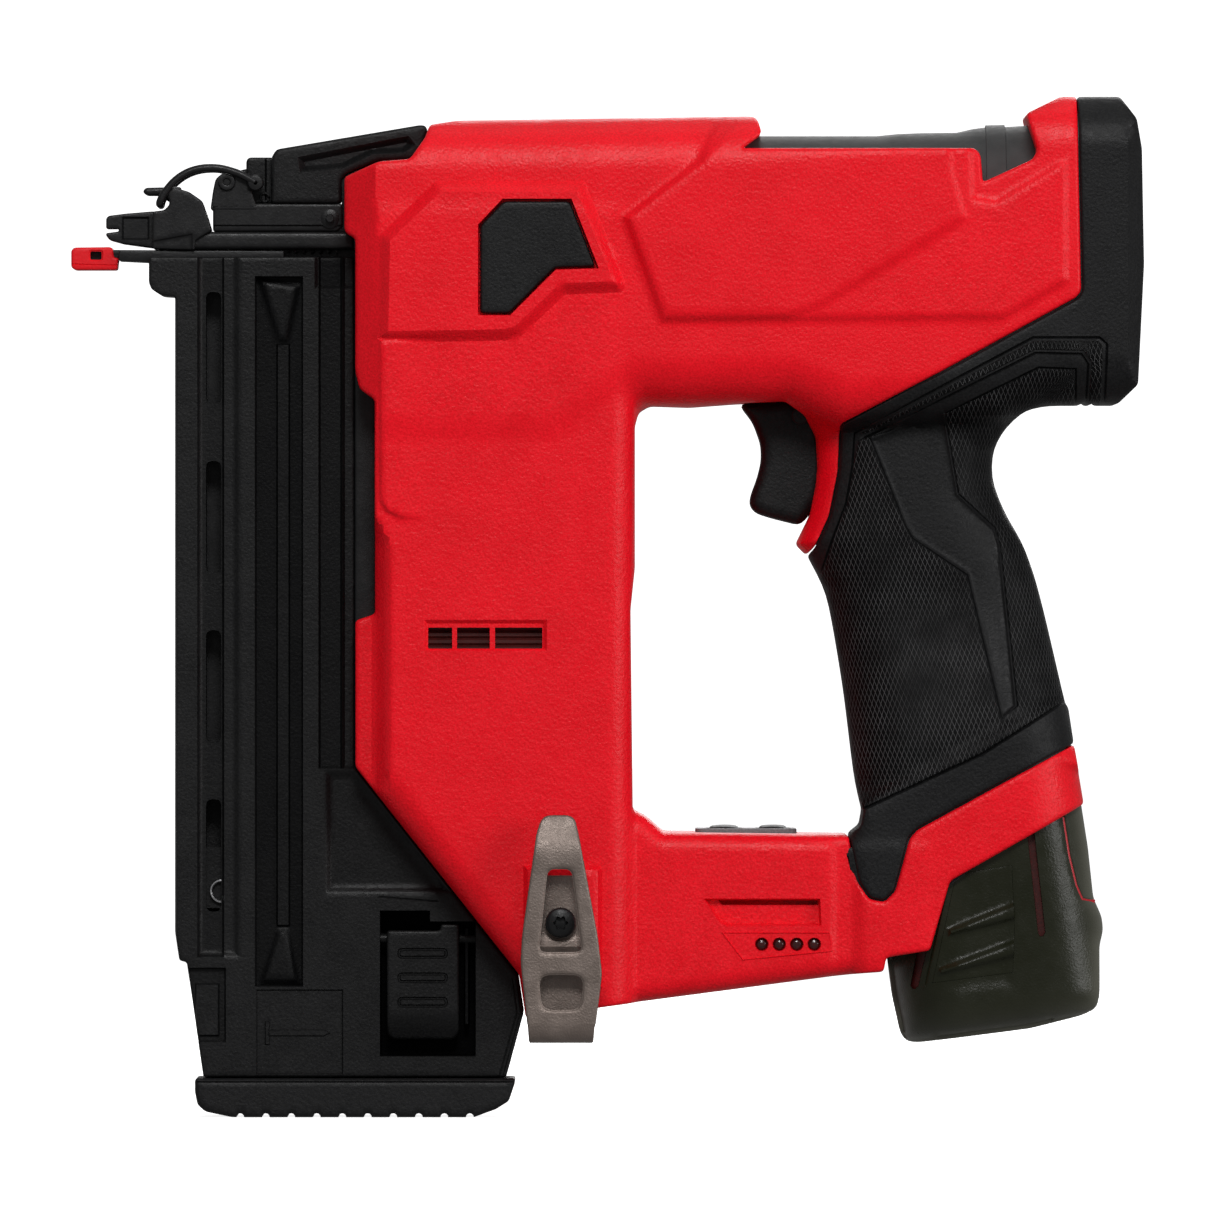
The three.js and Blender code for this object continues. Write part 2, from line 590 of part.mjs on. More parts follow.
// ---------------------------------------------------------------- nose
const BLADE_CHANNEL = () => join(
  box(-58, -1.4, DRIVE_Z - 1.1, -40, 1.4, DRIVE_Z + 1.1),
  box(-43.5, -2.6, DRIVE_Z - 1.6, 22, 2.6, DRIVE_Z + 1.6),
  box(-25, -2.6, DRIVE_Z - 1.6, 22, 5.4, DRIVE_Z + 1.6),
);

function noseBody() {
  const fork = [
    [-56, 202.6], [-55.3, 201.4], [-50, 200.2], [-44, 199.4], [-38, 199.4], [-38, 207], [-45, 208],
    [-51.5, 207.6], [-55.5, 207], [-56, 206.4],
  ];
  const cheek = [
    [-45.6, 201.8], [-44.4, 199.2], [-32, 199.2], [-32.2, 204], [-33.6, 207.4], [-35, 210.4],
    [-38.8, 213.4], [-42.4, 213.6], [-41.4, 210.8], [-41.4, 209.4], [-42.6, 208.2], [-45.6, 207.8],
  ];
  const horn = [
    [-38, 209], [-42, 210.4], [-43.2, 211.6], [-46.6, 211.6], [-47.6, 212.4], [-47, 213.4],
    [-38.8, 213.6],
  ];
  const floor = [[-45, 199.2], [1.2, 199.2], [1.2, 203.4], [-45, 203.4]];
  const flange = box(1, -9, 199.2, 20, 9, 208.8);
  const body = join(
    midSlab(fork, 4.6), midSlab(cheek, NOSE_HALF), midSlab(horn, 2.2), midSlab(floor, NOSE_HALF),
    flange,
  );
  return cut(
    body,
    BLADE_CHANNEL(),
    box(-36, -2.6, DRIVE_Z - 1.6, 21, 5.4, 212),
    box(-42, -1.2, 190, -3, 1.2, DRIVE_Z),
    box(-60, -1.4, 202.6, -53, 1.4, 203.6),
    box(-15, -7.2, 196, -0.4, -3.3, 200.9),
    box(-50, -8, 198, -4, -3.3, 199.25),
    rod('y', -50.5, DRIVE_Z + 1, 0.8, -6, 6, 12),
  );
}

// The jam-clearing door on top of the nose, with the two ears that hold the latch lever.
function noseDoor() {
  const { x, z } = DOOR_HINGE;
  const plate = [[-31.6, 203.9], [x, 203.9], [x, 208.6], [-31.6, 208.6]];
  const ear = [[-32, 208], [-31.2, 215], [-28.8, 217], [-25.6, 216.8], [-22.6, 211.5], [-21, 208]];
  const knuckle = join(rod('y', x, z, 2.3, -NOSE_HALF, NOSE_HALF, 14), rod('y', x, z, 1, -9, 9, 14));
  const body = join(midSlab(plate, NOSE_HALF), knuckle, slab(ear, 5.4, 7.5), slab(ear, -7.5, -5.4));
  return cut(
    body,
    box(-40, -2.6, 203, -1, 5.4, DRIVE_Z + 1.7),
    box(-8, -2.8, 203, -1, 5.6, z + 0.6),
    rod('y', LEVER_PIVOT.x, LEVER_PIVOT.z, 1.6, -10, 10, 16),
  );
}

const leverPin = () => rod('y', LEVER_PIVOT.x, LEVER_PIVOT.z, 1.3, -8.2, 8.2, 16);

function latchLever() {
  const { x, z } = LEVER_PIVOT;
  const root = [
    [x - 1.8, z + 1.8], [x + 3, z + 2.4], [-20, 221], [-17, 221.5], [-17, 210.2], [-24, 209.6],
    [x, z - 2.2], [x - 2, z],
  ];
  return cut(
    join(midSlab(LEVER_TAIL, 8), midSlab(root, 2.4)),
    rod('y', x, z, 1.7, -10, 10, 16),
    rod('y', BAIL_PIVOT.x, BAIL_PIVOT.z, 1.1, -4, 4, 12),
    box(-19.9, -10, 205, -17.5, -2.4, 213.4),
    box(-19.9, 2.4, 205, -17.5, 10, 213.4),
  );
}

// The sprung wire bail: a crossbar through the lever and an arm on each side of the horn.
function bail() {
  const { x, z } = BAIL_PIVOT;
  const side = 8.9;
  const toe = [-43.4, 209.9];
  const arm = (sign) => toSolid(wire([
    [x, sign * side, z], [-22.4, sign * side, 216], [-25.5, sign * side, 217.5],
    [-30, sign * side, 218], [-35.5, sign * side, 217.4], [-39.8, sign * side, 215.2],
    [-42.2, sign * side, 212.2], [toe[0], sign * side, toe[1]],
  ], 0.8, 12, 6));
  const hooked = (sign) => rod('y', ...toe, 0.8, Math.min(sign * 2.6, sign * (side + 0.4)),
    Math.max(sign * 2.6, sign * (side + 0.4)), 10);
  const crossbar = rod('y', x, z, 0.8, -side - 0.5, side + 0.5, 12);
  return join(crossbar, arm(-1), arm(1), hooked(-1), hooked(1));
}

function contactArm() {
  return join(
    box(-59.5, -2.6, 197.8, -49, 2.6, 198.9),
    box(-52.5, -NOSE_HALF, 197.8, -47.5, NOSE_HALF, 198.9),
    box(-52.5, -7, 197.8, -15, -3.6, 198.9),
  );
}

function noMarTip() {
  const outline = [
    [-64, 195.2], [-63.2, 194.5], [-53.4, 194.5], [-53.2, 197.2], [-54.4, 197.4], [-54.4, 199.8],
    [-63.5, 199.8], [-64, 199.2],
  ];
  return cut(
    midSlab(outline, 5.4),
    box(-60, -2.9, 197.4, -50, 2.9, 199.2),
    rod('y', -58.2, 198.3, 0.9, -7, 7, 12),
  );
}

// ---------------------------------------------------------------- magazine
// The fixed rail that the nails lie against, its bridge under the nose and its back spine.
function magazineRail() {
  return join(
    box(-36.5, 2, 62, -4.5, 4.4, 198.8),
    box(-36.5, 2, 197.7, 4.2, 5, 198.8),
    box(1.8, -5, 160, 4.2, 5, 198.8),
    box(1.8, -5, 116.2, 5.6, 5, 163.8),
  );
}

const WINDOW_PITCH = 38.8;
function magazineBody() {
  const hollow = loftSolid('z', [[46, -37.4, -1.4, 10, 2], [200, -37.4, -1.4, 10, 2]]);
  const windows = [0, 1, 2, 3].flatMap((i) => [-1, 1].map((sign) => box(
    -32.8, Math.min(sign * 8, sign * 15), 47.4 + WINDOW_PITCH * i,
    -29.6, Math.max(sign * 8, sign * 15), 73 + WINDOW_PITCH * i,
  )));
  const recess = [[7, 14], [29, 14], [29, 45], [18.5, 45], [18.5, 47.5], [7, 47.5]];
  const grooves = [-1, 1].map((sign) => box(
    -21.8, Math.min(sign * 11.3, sign * 15), 36, -10.4, Math.max(sign * 11.3, sign * 15), 193,
  ));
  return cut(
    midSlab(MAGAZINE_OUTLINE, MAGAZINE_HALF),
    hollow,
    slab(recess, -15, -4.6),
    rod('x', -8.6, LATCH_PIVOT_Z, 1.5, 3, 33, 14),
    ...windows,
    ...grooves,
  );
}

function footBumper() {
  const pad = [
    [-35.4, 9], [-35.4, 6], [-34.8, 3], [-33, 1.4], [-26, 0], [25, 0], [30, 1], [34, 2.4],
    [36.6, 4], [38, 8], [38, 9],
  ];
  const notches = Array.from({ length: 10 }, (_, i) => (
    rod('y', -25 + 5.8 * i, 0, 0.9, -FOOT_HALF - 1, FOOT_HALF + 1, 10)
  ));
  return cut(midSlab(pad, FOOT_HALF), ...notches);
}

function magazineLatch() {
  const plate = [[8.6, 19.5], [10, 18.5], [24, 18.5], [25.4, 20], [25.4, 44.4], [19.8, 44.4],
    [19.8, 43.4], [8.6, 43.4]];
  const ribs = [0, 1, 2].map((i) => box(11, -13.2, 24 + 5.6 * i, 22.5, -12, 26.4 + 5.6 * i));
  return join(
    slab(plate, -12.4, -9.6),
    rod('x', -8.6, LATCH_PIVOT_Z, 1.2, 4, 32, 12),
    ...ribs,
  );
}

function pusher() {
  return cut(
    join(
      box(-35.5, -1.1, 60, -6, 1.3, 74),
      box(-35.5, -8.6, 48, -22.5, -0.5, 62),
    ),
    rod('y', -29, 53.4, 6.1, -8, 4, 16),
    box(-40, -7.9, 46, -29, -1.9, 63),
  );
}

const springRoll = () => cut(
  rod('y', -29, 53.4, 5.6, -7.4, -2.4, 18),
  rod('y', -29, 53.4, 2.4, -9, 0, 16),
);
const springBand = () => box(-35, -7.4, 59.4, -34.7, -2.4, 190);

// ---------------------------------------------------------------- controls and electronics
function trigger() {
  const { x, z } = TRIGGER_PIVOT;
  return join(midSlab(TRIGGER_OUTLINE, 6.2), rod('y', x, z, 2, -10.4, 10.4, 16));
}

const switchModule = () => join(
  box(118, -7, 137, 131, 7, 154),
  rod('x', 0, 146, 1.6, 114.6, 119, 14),
);
const controlBoard = () => join(
  box(76, -18, 41, 108, 18, 43.4),
  box(80, -12, 43, 92, 12, 55),
  box(95, -13, 43, 106, 13, 50),
);
const terminalBlock = () => toSolid(
  new THREE.BoxGeometry(26, 18, 9).translate(-0.5, 0, 64).applyMatrix4(RAKED),
);
const buttonPanel = () => cut(
  box(79.4, -11.2, 60.4, 102.6, 11.2, 66.3),
  box(82, -8, 61.6, 90, 8, 70),
  box(93.4, -8, 61.6, 101, 8, 70),
  box(84.5, -3, 55, 87.5, 3, 64),
  box(95.5, -3, 55, 98.5, 3, 64),
);
const panelButton = (x0, x1) => loftSolid('z', [
  [62.9, x0, x1, 7.6, 2], [66.2, x0, x1, 7.6, 2], [67, x0 + 0.8, x1 - 0.8, 6.8, 2],
]);
const fuelGauge = () => join(
  box(91, -21, 38.4, 110, -19.6, 41.4),
  ...[0, 1, 2, 3].map((i) => rod('y', 94.5 + 4 * i, 39.9, 1.35, -24.2, -20.5, 16)),
);

// ---------------------------------------------------------------- belt hook
const HOOK = { inner: -31.3, outer: -39.4, leaf: 1.9 };
function beltHook() {
  const { inner, outer, leaf } = HOOK;
  const outside = [
    [44.2, 68.6], [45.2, 69.6], [50.6, 69.6], [52, 68.6], [54.6, 58], [57, 42], [58, 33.5],
    [56.6, 22.5], [56, 17.5], [42, 17.5], [40.5, 24], [39.4, 36], [39.6, 42], [42, 59],
  ];
  const upper = [[45.6, 57.5], [51, 57.5], [53.4, 38.6], [43.6, 38.6]];
  const lower = [[43.6, 33], [53.7, 33], [53.3, 25], [44.2, 25]];
  const back = [[41.8, 17.5], [56, 17.5], [56.6, 30], [54, 56], [43, 56], [41, 30]];
  return cut(
    join(
      slab(outside, outer, outer + leaf),
      slab(back, inner - leaf, inner),
      box(42, outer, 17.5, 56, inner, 17.5 + leaf),
    ),
    slab(upper, outer - 1, outer + leaf + 0.5),
    slab(lower, outer - 1, outer + leaf + 0.5),
    rod('y', HOOK_SCREW.x, HOOK_SCREW.z, 2.3, inner - leaf - 1, inner + 1, 16),
  );
}

function hookScrew() {
  const head = HOOK.inner - HOOK.leaf - GAP;
  return cut(
    join(
      rod('y', HOOK_SCREW.x, HOOK_SCREW.z, 3.4, head - 2, head, 14),
      rod('y', HOOK_SCREW.x, HOOK_SCREW.z, 2, head - 0.5, -18, 14),
    ),
    rod('y', HOOK_SCREW.x, HOOK_SCREW.z, 1.5, head - 3, head - 0.9, 6),
  );
}

// ---------------------------------------------------------------- battery
const CLIP = { u0: -11, u1: 9, v0: -25, v1: 0 };
function batteryCase() {
  const base = rakedLoft([
    [-39.6, -21, 16, 18, 7], [-38.5, -24.2, 19.5, 21, 8], [-26, -24.6, 22.4, 22, 8],
    [-18, -24.6, 22.4, 22, 8], [6.4, -24.6, 22.6, 22, 8],
  ]);
  const stem = rakedLoft([[4, -18.6, 18.4, 11.8, 8.5], [56, -18.2, 17.6, 11.8, 8.5]]);
  const pockets = [-1, 1].map((sign) => toSolid(new THREE.BoxGeometry(
    CLIP.u1 - CLIP.u0 + 0.8, 8, CLIP.v1 - CLIP.v0 + 0.8,
  ).translate((CLIP.u0 + CLIP.u1) / 2, sign * 22.2, (CLIP.v0 + CLIP.v1) / 2).applyMatrix4(RAKED)));
  return cut(join(base, stem), ...pockets);
}

function batteryClip(sign) {
  const plate = new THREE.BoxGeometry(CLIP.u1 - CLIP.u0, 2.6, CLIP.v1 - CLIP.v0);
  const rib = (v) => new THREE.BoxGeometry(CLIP.u1 - CLIP.u0 - 3, 1.2, 3)
    .rotateY(-0.35).translate(0, sign * 1.4, v);
  const place = (geometry) => toSolid(geometry
    .translate((CLIP.u0 + CLIP.u1) / 2, sign * 20.6, (CLIP.v0 + CLIP.v1) / 2).applyMatrix4(RAKED));
  return join(place(plate), place(rib(-7)), place(rib(-1)));
}

// ---------------------------------------------------------------- materials
const paint = (color, roughness, metalness = 0) => () => (
  new THREE.MeshStandardMaterial({ color, roughness, metalness })
);
const RED = paint(0xd8101c, 0.45);
const BLACK = paint(0x17181a, 0.5);
const RUBBER = paint(0x1b1c1d, 0.8);
const STEEL = paint(0xa7a9ac, 0.35, 0.9);
const DARK_STEEL = paint(0x2a2b2d, 0.4, 0.8);
const HOOK_STEEL = paint(0x9a8f85, 0.4, 0.9);
const ALUMINIUM = paint(0xb9bcc0, 0.45, 0.8);
const GREY_TANK = paint(0x2f3133, 0.35, 0.4);
const COPPER = paint(0x9a5a32, 0.5, 0.6);
const SMOKED = paint(0x2c2a24, 0.25);
const BRASS = paint(0xb08d3c, 0.4, 0.9);
const BOARD = paint(0x1d4a2c, 0.5);
const LENS = paint(0x5a0c0c, 0.2);
const WHITE = paint(0xc9c9c6, 0.6);

// ---------------------------------------------------------------- assembly
const nailer = new THREE.Group();

function place(name, shape, material, x = 0, y = 0, z = 0, turn = [0, 0, 0]) {
  const geometry = shape instanceof THREE.BufferGeometry ? shape : toGeometry(shape);
  const mesh = new THREE.Mesh(geometry, material());
  mesh.name = name;
  mesh.position.set(x, y, z);
  mesh.rotation.set(...turn);
  nailer.add(mesh);
  return mesh;
}

const shell = housing();
const skin = gripSkin(shell);
place('housing_left', shell.intersect(LEFT()), RED);
place('housing_right', shell.intersect(RIGHT()), RED);
place('grip_left', skin.intersect(LEFT()), RUBBER);
place('grip_right', skin.intersect(RIGHT()), RUBBER);
place('side_pad_left', sidePad(-1), BLACK);
place('side_pad_right', sidePad(1), BLACK);
SCREWS.forEach((screw, i) => place(`housing_screw_${i + 1}`, housingScrew(screw), DARK_STEEL));

place('cylinder_tank', cylinderTank(), GREY_TANK);
place('cylinder_liner', cylinderLiner(), ALUMINIUM);
place('piston_bumper', pistonBumper(), RUBBER);
place('fill_valve', fillValve(), BRASS);
place('piston', piston(), ALUMINIUM);
place('piston_seal', pistonSeal(), RUBBER);
place('driver_blade', driverBlade(), STEEL);

place('drive_frame', driveFrame(), ALUMINIUM);
place('lifter_wheel', lifterWheel(), STEEL);
place('lifter_bearing_lower', lifterBearing(173, 178), STEEL);
place('lifter_bearing_upper', lifterBearing(211, 215.4), STEEL);
[0, 1, 2].forEach((i) => place(`planet_gear_${i + 1}`, planetGear(i), STEEL));
place('ring_gear', ringGear(), DARK_STEEL);
place('motor_rotor', motorRotor(), STEEL);
place('motor_stator', motorStator(), COPPER);
place('motor_end_cap', motorEndCap(), ALUMINIUM);
place('cooling_fan', coolingFan(), BLACK);

place('nose_body', noseBody(), DARK_STEEL);
place('nose_door', noseDoor(), DARK_STEEL);
place('lever_pin', leverPin(), STEEL);
place('latch_lever', latchLever(), BLACK);
place('bail', bail(), DARK_STEEL);
place('contact_arm', contactArm(), DARK_STEEL);
place('no_mar_tip', noMarTip(), RED);
place('contact_spring', spring(11.4, 1.1, 0.2, 6), STEEL, -14.2, -5.3, 199.3, [0, Math.PI / 2, 0]);

place('magazine_rail', magazineRail(), DARK_STEEL);
place('magazine_body', magazineBody(), BLACK);
place('foot_bumper', footBumper(), RUBBER);
place('magazine_latch', magazineLatch(), BLACK);
place('latch_spring', spring(3.6, 1.8, 0.3, 3), STEEL, 17, -9.2, 24, [-Math.PI / 2, 0, 0]);
place('pusher', pusher(), BLACK);
place('spring_roll', springRoll(), STEEL);
place('spring_band', springBand(), STEEL);

place('trigger', trigger(), BLACK);
place('trigger_spring', spring(5, 2.2, 0.3, 3), STEEL, 112.4, 0, 151.6, [0, Math.PI / 2, 0]);
place('switch_module', switchModule(), BLACK);
place('control_board', controlBoard(), BOARD);
place('terminal_block', terminalBlock(), BLACK);
place('button_panel', buttonPanel(), WHITE);
place('mode_button', panelButton(82.4, 89.6), RUBBER);
place('light_button', panelButton(93.8, 100.6), RUBBER);
place('fuel_gauge', fuelGauge(), LENS);

place('belt_hook', beltHook(), HOOK_STEEL);
place('hook_screw', hookScrew(), DARK_STEEL);
place('battery_case', batteryCase(), SMOKED);
place('battery_clip_left', batteryClip(-1), SMOKED);
place('battery_clip_right', batteryClip(1), SMOKED);

export default nailer;
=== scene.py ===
"""Cordless brad nailer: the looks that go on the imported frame."""

import math

import bmesh
import bpy
import numpy as np
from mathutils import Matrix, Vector, geometry


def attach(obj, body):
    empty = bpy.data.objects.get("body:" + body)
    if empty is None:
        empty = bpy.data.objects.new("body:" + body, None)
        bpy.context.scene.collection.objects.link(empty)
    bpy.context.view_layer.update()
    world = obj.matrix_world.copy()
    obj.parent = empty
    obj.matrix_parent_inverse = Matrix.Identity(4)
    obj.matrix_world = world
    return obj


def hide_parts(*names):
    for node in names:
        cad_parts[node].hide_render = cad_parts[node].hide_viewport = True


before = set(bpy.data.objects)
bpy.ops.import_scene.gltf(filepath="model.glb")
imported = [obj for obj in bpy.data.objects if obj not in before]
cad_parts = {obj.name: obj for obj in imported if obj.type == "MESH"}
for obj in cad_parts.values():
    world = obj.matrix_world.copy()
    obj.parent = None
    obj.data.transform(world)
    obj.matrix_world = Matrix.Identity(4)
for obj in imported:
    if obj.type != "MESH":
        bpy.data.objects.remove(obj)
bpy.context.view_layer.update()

MM = 0.001
RAKE = math.radians(10)
DRIVE_Z = 203.0
PITCH = 1.0      # spacing of a relief's mesh
BATTERY_X, BATTERY_Z = 145.5, 60        # a point on the battery's leaning axis
SIDES = ((-1, "left"), (1, "right"))    # direction of Y, and what that side is called


# ------------------------------------------------------------------ outlines (x, z in mm)
RED_OUTLINE = [
    (-1, 203), (-1, 215.5), (7, 219), (14, 219.5), (17.5, 224.5), (18.5, 227.5), (25, 228.6),
    (92.5, 229.5), (93.6, 228.6), (94.5, 225.5), (90, 222), (143.2, 222), (144.5, 220.5),
    (145, 214.2), (156.5, 219.5), (157.5, 221.5), (155, 230), (163, 234), (166.6, 234), (167.5, 189.5),
    (166.6, 188), (136.5, 171.5), (112.5, 159), (112, 148), (110, 138), (106.8, 131), (104.8, 129),
    (102.4, 131.5), (105.6, 138), (107.2, 146), (107, 156), (104.5, 161), (100, 164.3),
    (88.5, 163.8), (78, 163), (69, 163.3), (66.4, 161.8), (65.5, 158.5), (65.5, 126), (64.5, 116.5),
    (65, 70.5), (68, 69), (72, 65.5), (114.3, 65), (116.5, 54), (119.2, 50.2), (122.6, 49.6),
    (125, 52), (128.3, 64), (130, 66), (151, 77.5), (166.2, 85.6), (168.5, 72), (137.6, 54.4),
    (133, 38.5), (123, 36.9), (122.4, 33.6), (117, 33.2), (110.5, 32.5), (57.5, 25.5), (40.5, 23),
    (39, 33), (1.5, 80.5), (1.5, 114), (6, 115.5), (6, 164.5), (2.5, 167), (1.5, 171), (1.5, 201.5),
]
GRIP_OUTLINE = [
    (166.8, 234), (176.5, 234), (180.3, 228.8), (181.5, 222), (182, 195.5), (180.6, 168), (176, 163.5),
    (171.4, 163.5), (170.8, 164.2), (170.2, 163.5), (169, 163.5), (168.4, 164.2), (167.8, 163.5),
    (160, 163.5, 6), (154.5, 162, 6), (150, 157.5, 6), (147.6, 152.5, 6), (147.5, 146, 6),
    (150.5, 138.5, 6), (154.7, 131.5, 6), (157.5, 123.5, 6), (159.7, 115, 6), (164.2, 95), (165, 94),
    (166.2, 85.9),
    (151, 77.9), (130, 66.4), (128, 64.2), (124.8, 52.2), (122.4, 49.9), (119.4, 50.5),
    (116.8, 54.2), (114.6, 65), (117.2, 67), (117.8, 70.5), (116, 77.5, 6), (113.5, 98, 6), (111, 113, 6),
    (109.3, 121, 6), (105.2, 128.8), (107.1, 130.9), (110.3, 137.9), (112.3, 148), (112.8, 158.8),
    (136.7, 171.2), (166.8, 187.7), (167.8, 189.4),
]
PLATE = [
    (7, 202), (20, 214.5), (54, 214.5), (63.5, 191), (62.5, 189), (49.5, 188.5), (39.5, 179),
    (36, 178), (8.5, 177.5), (6.5, 178.5),
]
SPINE_PANEL = [(6.6, 178.6), (20, 178.6), (20, 137), (12, 137), (8.4, 138.6), (6.8, 141.5)]
POCKET = [
    (29.6, 204.5), (35.2, 210.4), (51.0, 210.4), (57.3, 194.4), (47.4, 194.1), (37, 183.7), (29.6, 183.7),
]
PAD_OUTLINE = [
    (30.1, 204.2), (35.5, 209.8), (50.6, 209.8), (56.5, 194.9), (47.2, 194.6), (36.8, 184.2), (30.1, 184.2),
]
FLANK_PANEL = [
    (62, 206.5), (79.5, 220), (86, 233), (143, 233), (143.5, 211.4), (147.9, 210.6), (162.4, 219.4),
    (165, 219.6), (165, 191), (149.8, 182.4), (71, 181.5),
]
BLANK_PANEL = [
    (62.8, 206.3), (79.8, 219.2), (88, 230), (138.6, 230), (139, 217), (142.2, 205.6), (107.4, 184.6),
    (100, 182.6), (71.6, 182.4),
]
BLADE = [
    (119.4, 155.6), (134.5, 161.6), (136.4, 161.6), (139.6, 143), (148, 135.2), (149.2, 131.5),
    (153, 94.4), (149.4, 91.2), (141.6, 124.4), (129.2, 132.6), (127.4, 135.6),
]
BAND_OUTER = [
    (108.6, 126), (110.7, 132.3), (114, 141), (115.4, 149.5), (115.8, 157), (156.5, 178.7),
    (171.7, 178.7), (173.4, 177.2), (172.9, 163),
]
BAND_MIDDLE = [(118.4, 156), (157.1, 175.2), (167.6, 174.9), (169.1, 172.6), (168.6, 163)]
BAND_INNER = [(136.9, 161.6), (157.8, 171.8), (166.3, 171.5), (166.3, 163)]
KNURL = [
    (106.5, 121), (108.6, 126), (110.7, 132.3), (114, 141), (115.4, 149.5), (116.6, 155.4),
    (137, 161.8), (157.8, 171.8), (166.3, 171.5), (166.3, 158), (190, 158), (190, 104), (164, 95.5),
    (145, 83.5), (118, 71), (108, 66),
]
BAND_FILL = [
    (117, 156.8), (156.7, 178), (171.4, 178), (172.6, 176.8), (172.2, 163), (169.2, 163),
    (169.8, 173), (168, 175.6), (157, 175.9), (118.6, 156.8),
]
GRIP_SEAM = [(112, 68), (118, 71), (145, 83.5), (164, 95.5), (168, 98)]
VENTS = [
    [(x0, 107.6), (x1, 107.6), (x1, 112.4), (x0, 112.4)]
    for x0, x1 in ((18.2, 23.7), (24.8, 32.3), (33.5, 44.3))
]
VENT_FRAME = [(17.2, 107), (45.4, 107), (45.4, 114.2), (17.2, 114.2)]
STRAP_SLOT = [(81.2, 50.4), (107.9, 50.4), (108.2, 44.2), (86.4, 44), (84.8, 45)]
STRAP_SLIT = [(84.4, 50), (107.4, 50), (107.4, 48.9), (85.4, 48.9)]
GAUGE_LINE = [(85.5, 42.6), (110, 42.6), (110.6, 38.4), (90.2, 36.4), (85.5, 42.6)]
GAUGE_X = [94.5 + 4 * i for i in range(4)]
GAUGE_Z = 39.9
SCREWS = [      # x and z of each housing screw, and how far from the middle its head ends
    (11, 184, 26), (58.5, 148, 26), (58.5, 88, 26), (72, 36, 21), (148, 172, 26.5),
]

MAGAZINE_OUTLINE = [
    (-46, 197.4), (-46, 191.5), (-45.4, 190), (-43, 188.5), (-40, 188.3), (-40, 42.5), (-39, 36),
    (-37.3, 35.6), (-33.5, 9.3), (36, 9.3), (40, 24), (38.7, 32.6), (1.2, 80.3), (1.1, 197.4),
]
FOOT_OUTLINE = [
    (-35.4, 9), (-35.4, 6), (-34.8, 3), (-33, 1.4), (-26.8, 0.1), (27, 0.1), (33.4, 1.8), (36.6, 3.8),
    (38, 8), (38, 9),
]
TRIGGER_OUTLINE = [
    (89.4, 163.6), (92.6, 159.4), (94.4, 154.4), (94.5, 150.5), (93.5, 146.5), (92, 142.6),
    (91.8, 140.4), (93.2, 138.6), (97, 137.4), (103.5, 135.8), (108, 141), (109.5, 150),
    (108.5, 160), (106.5, 163.6), (102, 165), (96, 164.8),
]
LEVER_TAIL = [
    (-18, 209.8), (-18, 220.3), (-16.8, 222.2), (16.3, 227.8), (17.5, 227.6), (17.9, 226.4),
    (16.2, 221.6), (14.2, 219.9), (6.6, 219.6), (-0.8, 216.6), (-1.95, 215), (-1.95, 210.2), (-2.6, 209.8),
]
LEVER_SCOOP = [
    (-12, 220.4), (13.5, 225.3), (15.2, 223.2), (12.4, 221.3), (5.4, 221), (-1.4, 217.8), (-11.4, 216.8),
]
HOOK_OUTLINE = [
    (41, 20.9), (39.4, 36), (39.7, 42), (43, 65.5), (44, 68.6), (45.4, 69.6), (50.4, 69.6), (51.8, 68.8),
    (52.6, 65.5), (57, 42), (58, 33.5), (57.4, 28.4), (56.4, 20.9),
]
HOOK_WINDOW = [(45.6, 57.3), (51, 57.3), (53.4, 38.4), (43.6, 38.4)]
HOOK_WINDOW_LOW = [(43.6, 33.2), (53.8, 33.2), (53.2, 25.2), (44.2, 25.2)]
BATTERY_OUTLINE = [
    (124.6, 28), (120.6, 60), (122, 62), (160, 74), (166.2, 75.2), (167.6, 73.6), (169.4, 62),
    (170.6, 50.5), (172.6, 46), (172.9, 43), (172, 39.5), (172, 28.2), (171.3, 25.2), (168, 23.5),
    (156, 20.5), (130.5, 17.2), (128, 17.3), (126.6, 19),
]


# ------------------------------------------------------------------ plane geometry
def signed_distance(points, outline):
    """Distance from each point to the outline, positive inside it."""
    corners = np.asarray(outline, float)
    x, z = points[:, 0], points[:, 1]
    nearest = np.full(len(points), 1e9)
    inside = np.zeros(len(points), bool)
    for (ax, az), (bx, bz) in zip(corners, np.roll(corners, -1, axis=0)):
        nearest = np.minimum(nearest, segment_square(x, z, ax, az, bx, bz))
        if az != bz:
            crosses = (az > z) != (bz > z)
            inside ^= crosses & (x < (bx - ax) * (z - az) / (bz - az) + ax)
    return np.where(inside, 1, -1) * np.sqrt(nearest)


def segment_square(x, z, ax, az, bx, bz):
    """Squared distance from each point to the segment from a to b."""
    ex, ez = bx - ax, bz - az
    t = np.clip(((x - ax) * ex + (z - az) * ez) / max(ex * ex + ez * ez, 1e-12), 0, 1)
    return (x - ax - t * ex) ** 2 + (z - az - t * ez) ** 2


def line_distance(points, path):
    """Distance from each point to an open line of points."""
    x, z = points[:, 0], points[:, 1]
    squares = [segment_square(x, z, *a, *b) for a, b in zip(path, path[1:])]
    return np.sqrt(np.min(squares, axis=0))


def plane_distance(points, a, b):
    """Distance to the left of the line from a to b."""
    (ax, az), (bx, bz) = a, b
    length = math.hypot(bx - ax, bz - az)
    return ((bx - ax) * (points[:, 1] - az) - (bz - az) * (points[:, 0] - ax)) / length


def area(outline):
    """Area of the outline, negative if it runs clockwise."""
    return sum(a[0] * b[1] - b[0] * a[1] for a, b in zip(outline, outline[1:] + outline[:1])) / 2


